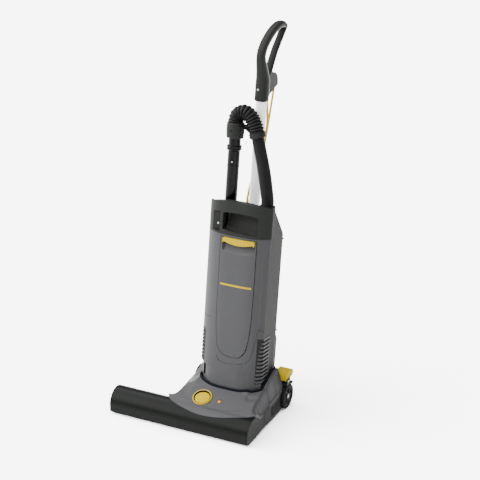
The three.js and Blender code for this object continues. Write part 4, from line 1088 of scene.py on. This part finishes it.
def make_wand():
    tube = [
        (16.5, 470), (18.5, 470), (18.5, 682), (18.9, 683), (18.9, 690), (18.5, 691), (18.5, 733),
        (21.6, 735), (23, 737), (23, 740), (21.8, 741), (21.8, 743), (23, 744), (23, 747), (21.4, 749),
        (18.5, 750), (18.5, 772), (16.5, 772),
    ]
    wand = as_object("wand_looks", lathe(tube, "z", (WAND_X, WAND_Y), 72), BODY)
    teeth = []
    for k in range(12):
        turn = 2 * math.pi * k / 12
        spot = (WAND_X + 23 * math.cos(turn), WAND_Y + 23 * math.sin(turn))
        teeth.append(rod("z", spot, 1.3, 734, 750, 12))
    combine(wand, teeth, BODY)
    finish_piece(wand, GLOSS, "black_plastic", "upright", "wand_tube", bevel=0.4)
    button = rod("y", (WAND_X + 4, 700), 2.4, WAND_Y - 19.2, WAND_Y - 17.8, 24)
    piece("wand_button", button, BODY, TRIM, "steel", "upright", bevel=0.3)

    cuff = [
        (18, 772.3), (25.4, 772.3), (26.4, 774), (26.6, 784), (27.5, 786), (27.5, 812), (26.8, 814),
        (26.8, 816.5), (25.2, 819.7), (18, 819.7),
    ]
    sleeve = as_object("hose_cuff_looks", lathe(cuff, "z", (WAND_X, WAND_Y), 72), BODY)
    notches = [block((WAND_X - 3, WAND_X + 3), (WAND_Y - 30, WAND_Y - 25), (793, 799))]
    for k in range(8):
        turn = math.radians(45 * k + 20)
        spot = (WAND_X + 28.4 * math.cos(turn), WAND_Y + 28.4 * math.sin(turn))
        notches.append(rod("z", spot, 2, 787, 812, 16))
    combine(sleeve, notches, BODY)
    finish_piece(sleeve, BLACK, "black_plastic", "upright", "hose_cuff", bevel=0.6)

    y = WAND_Y
    bend = [
        (50, y, 820.2), (50, y, 828), (54, y, 840), (63, y, 849), (77, y, 853), (93, y, 847), (106, y, 832),
        (115, y, 816), (119.5, y, 804), (121.6, y, 796.5),
    ]
    hose("bend_hose_looks", bend, 24.3, 20, 8.4, 5.0, "bend_hose", 44, 8)
    stretch = [
        (125.6, y, 782), (127.8, y, 774.2), (136, y, 745), (147, y, 708), (157, y + 1, 668),
        (164, y + 2, 632), (168.6, y + 4, 602), (PORT_X, PORT_Y, 588), (PORT_X, PORT_Y, 579),
    ]
    hose("stretch_hose_looks", stretch, 19.7, 16, 3.3, 1.3, "stretch_hose", 40, 5)
    start, end = Vector((121.7, y, 796)), Vector((125.5, y, 782.4))
    radii = [24.6, 25.6, 25.6, 24.2, 24.2, 25.4, 25.4, 23.6]
    line = [start.lerp(end, t) for t in (0, 0.08, 0.34, 0.4, 0.52, 0.58, 0.9, 1)]
    collar = sweep(line, lambda i, t: circle(radii[i], 48), up=(0, 1, 0))
    piece("hose_joint_looks", collar, BODY, BLACK, "black_plastic", "upright", "hose_joint", bevel=0.4)
    port = [
        (16, 478), (22, 478), (22, 562), (24, 565), (25, 567), (25, 577), (24.2, 578.5), (19.5, 578.5),
        (16, 560),
    ]
    piece("hose_port_looks", lathe(port, "z", (PORT_X, PORT_Y), 64), BODY, BLACK, "black_plastic", "upright",
          "hose_port", bevel=0.5)


def make_handle():
    tube = [(15.5, 400), (17, 400), (17, 905), (15.5, 905)]
    piece("handle_tube_looks", lathe(tube, "z", (BODY_X, 0), 72), BODY, TUBE, "tube_paint", "upright",
          "handle_tube", bevel=0.3)
    path = [
        (0, 884), (0, 892), (0, 920), (-0.5, 945), (-7, 968), (-16, 990), (-24, 1012), (-24, 1030),
        (-11, 1051), (13, 1072), (47, 1092), (84, 1104), (112, 1104), (127, 1096),
    ]
    line = even(spline([(BODY_X, a, b) for a, b in path], 10), 3)
    width_at = [(0, 19.6), (2.5, 20.6), (60, 20.4), (100, 16.5), (140, 13.6), (400, 13.5)]
    depth_at = [(0, 19.6), (2.5, 20.6), (55, 20.2), (90, 15.5), (130, 11.6), (400, 10.6)]
    wide, deep = [], []
    travelled = 0.0
    for i, p in enumerate(line):
        travelled += (p - line[max(0, i - 1)]).length
        wide.append(between(width_at, travelled))
        deep.append(between(depth_at, travelled))
    front = as_object(
        "handle_front_looks",
        sweep(line, lambda i, t: squircle(wide[i], deep[i], 2.5, 48), up=(0, 1, 0)),
        BODY,
    )
    combine(front, [rod("z", (BODY_X, 0), 17.3, 870, 905.3)], BODY)
    finish_piece(front, BLACK, "black_plastic", "upright", "handle_front", bevel=0.8, segments=3)

    back = [(127, 1096), (119, 1084), (98, 1058), (74, 1030), (58, 1005), (42, 981), (26, 962), (14, 948)]
    rear_line = even(spline([(BODY_X, a, b) for a, b in back], 10), 3)
    total = len(rear_line) - 1
    rear = sweep(
        rear_line,
        lambda i, t: squircle(between([(0, 12.2), (0.15, 11), (0.7, 11.5), (1, 15)], i / total),
                              between([(0, 9.5), (0.15, 7.6), (0.7, 8), (1, 12)], i / total), 2.6, 40),
        up=(0, 1, 0),
    )
    piece("handle_rear_looks", rear, BODY, BLACK, "black_plastic", "upright", "handle_rear", bevel=0.8,
          segments=3)

    frames = frames_along(line, (0, 1, 0))
    seam = []
    across = math.cos(math.radians(26)) ** 0.8
    behind = math.sin(math.radians(26)) ** 0.8
    for i, (p, side, up) in enumerate(frames):
        if 4 < i < len(frames) - 4:
            seam.append(p - side * (wide[i] * across) + up * (deep[i] * behind))
    strip = sweep(seam, lambda i, t: circle(1.0, 10), up=(0, 1, 0))
    piece("handle_seam", strip, BODY, TRIM, "tube_paint", "upright")
    refined("handle_screw", STEEL, 0.4)
    refined("cable_hook", BLACK, 1.4, 3)
    refined("lower_cable_hook", BLACK, 1.0, 2)


make_camera()
make_cable()
make_studio()
make_brush_housing()
make_cover()
make_knob()
make_chassis()
make_wheels()
make_brush()
make_front_shell()
make_door()
make_top_cover()
make_rear()
make_wand()
make_handle()
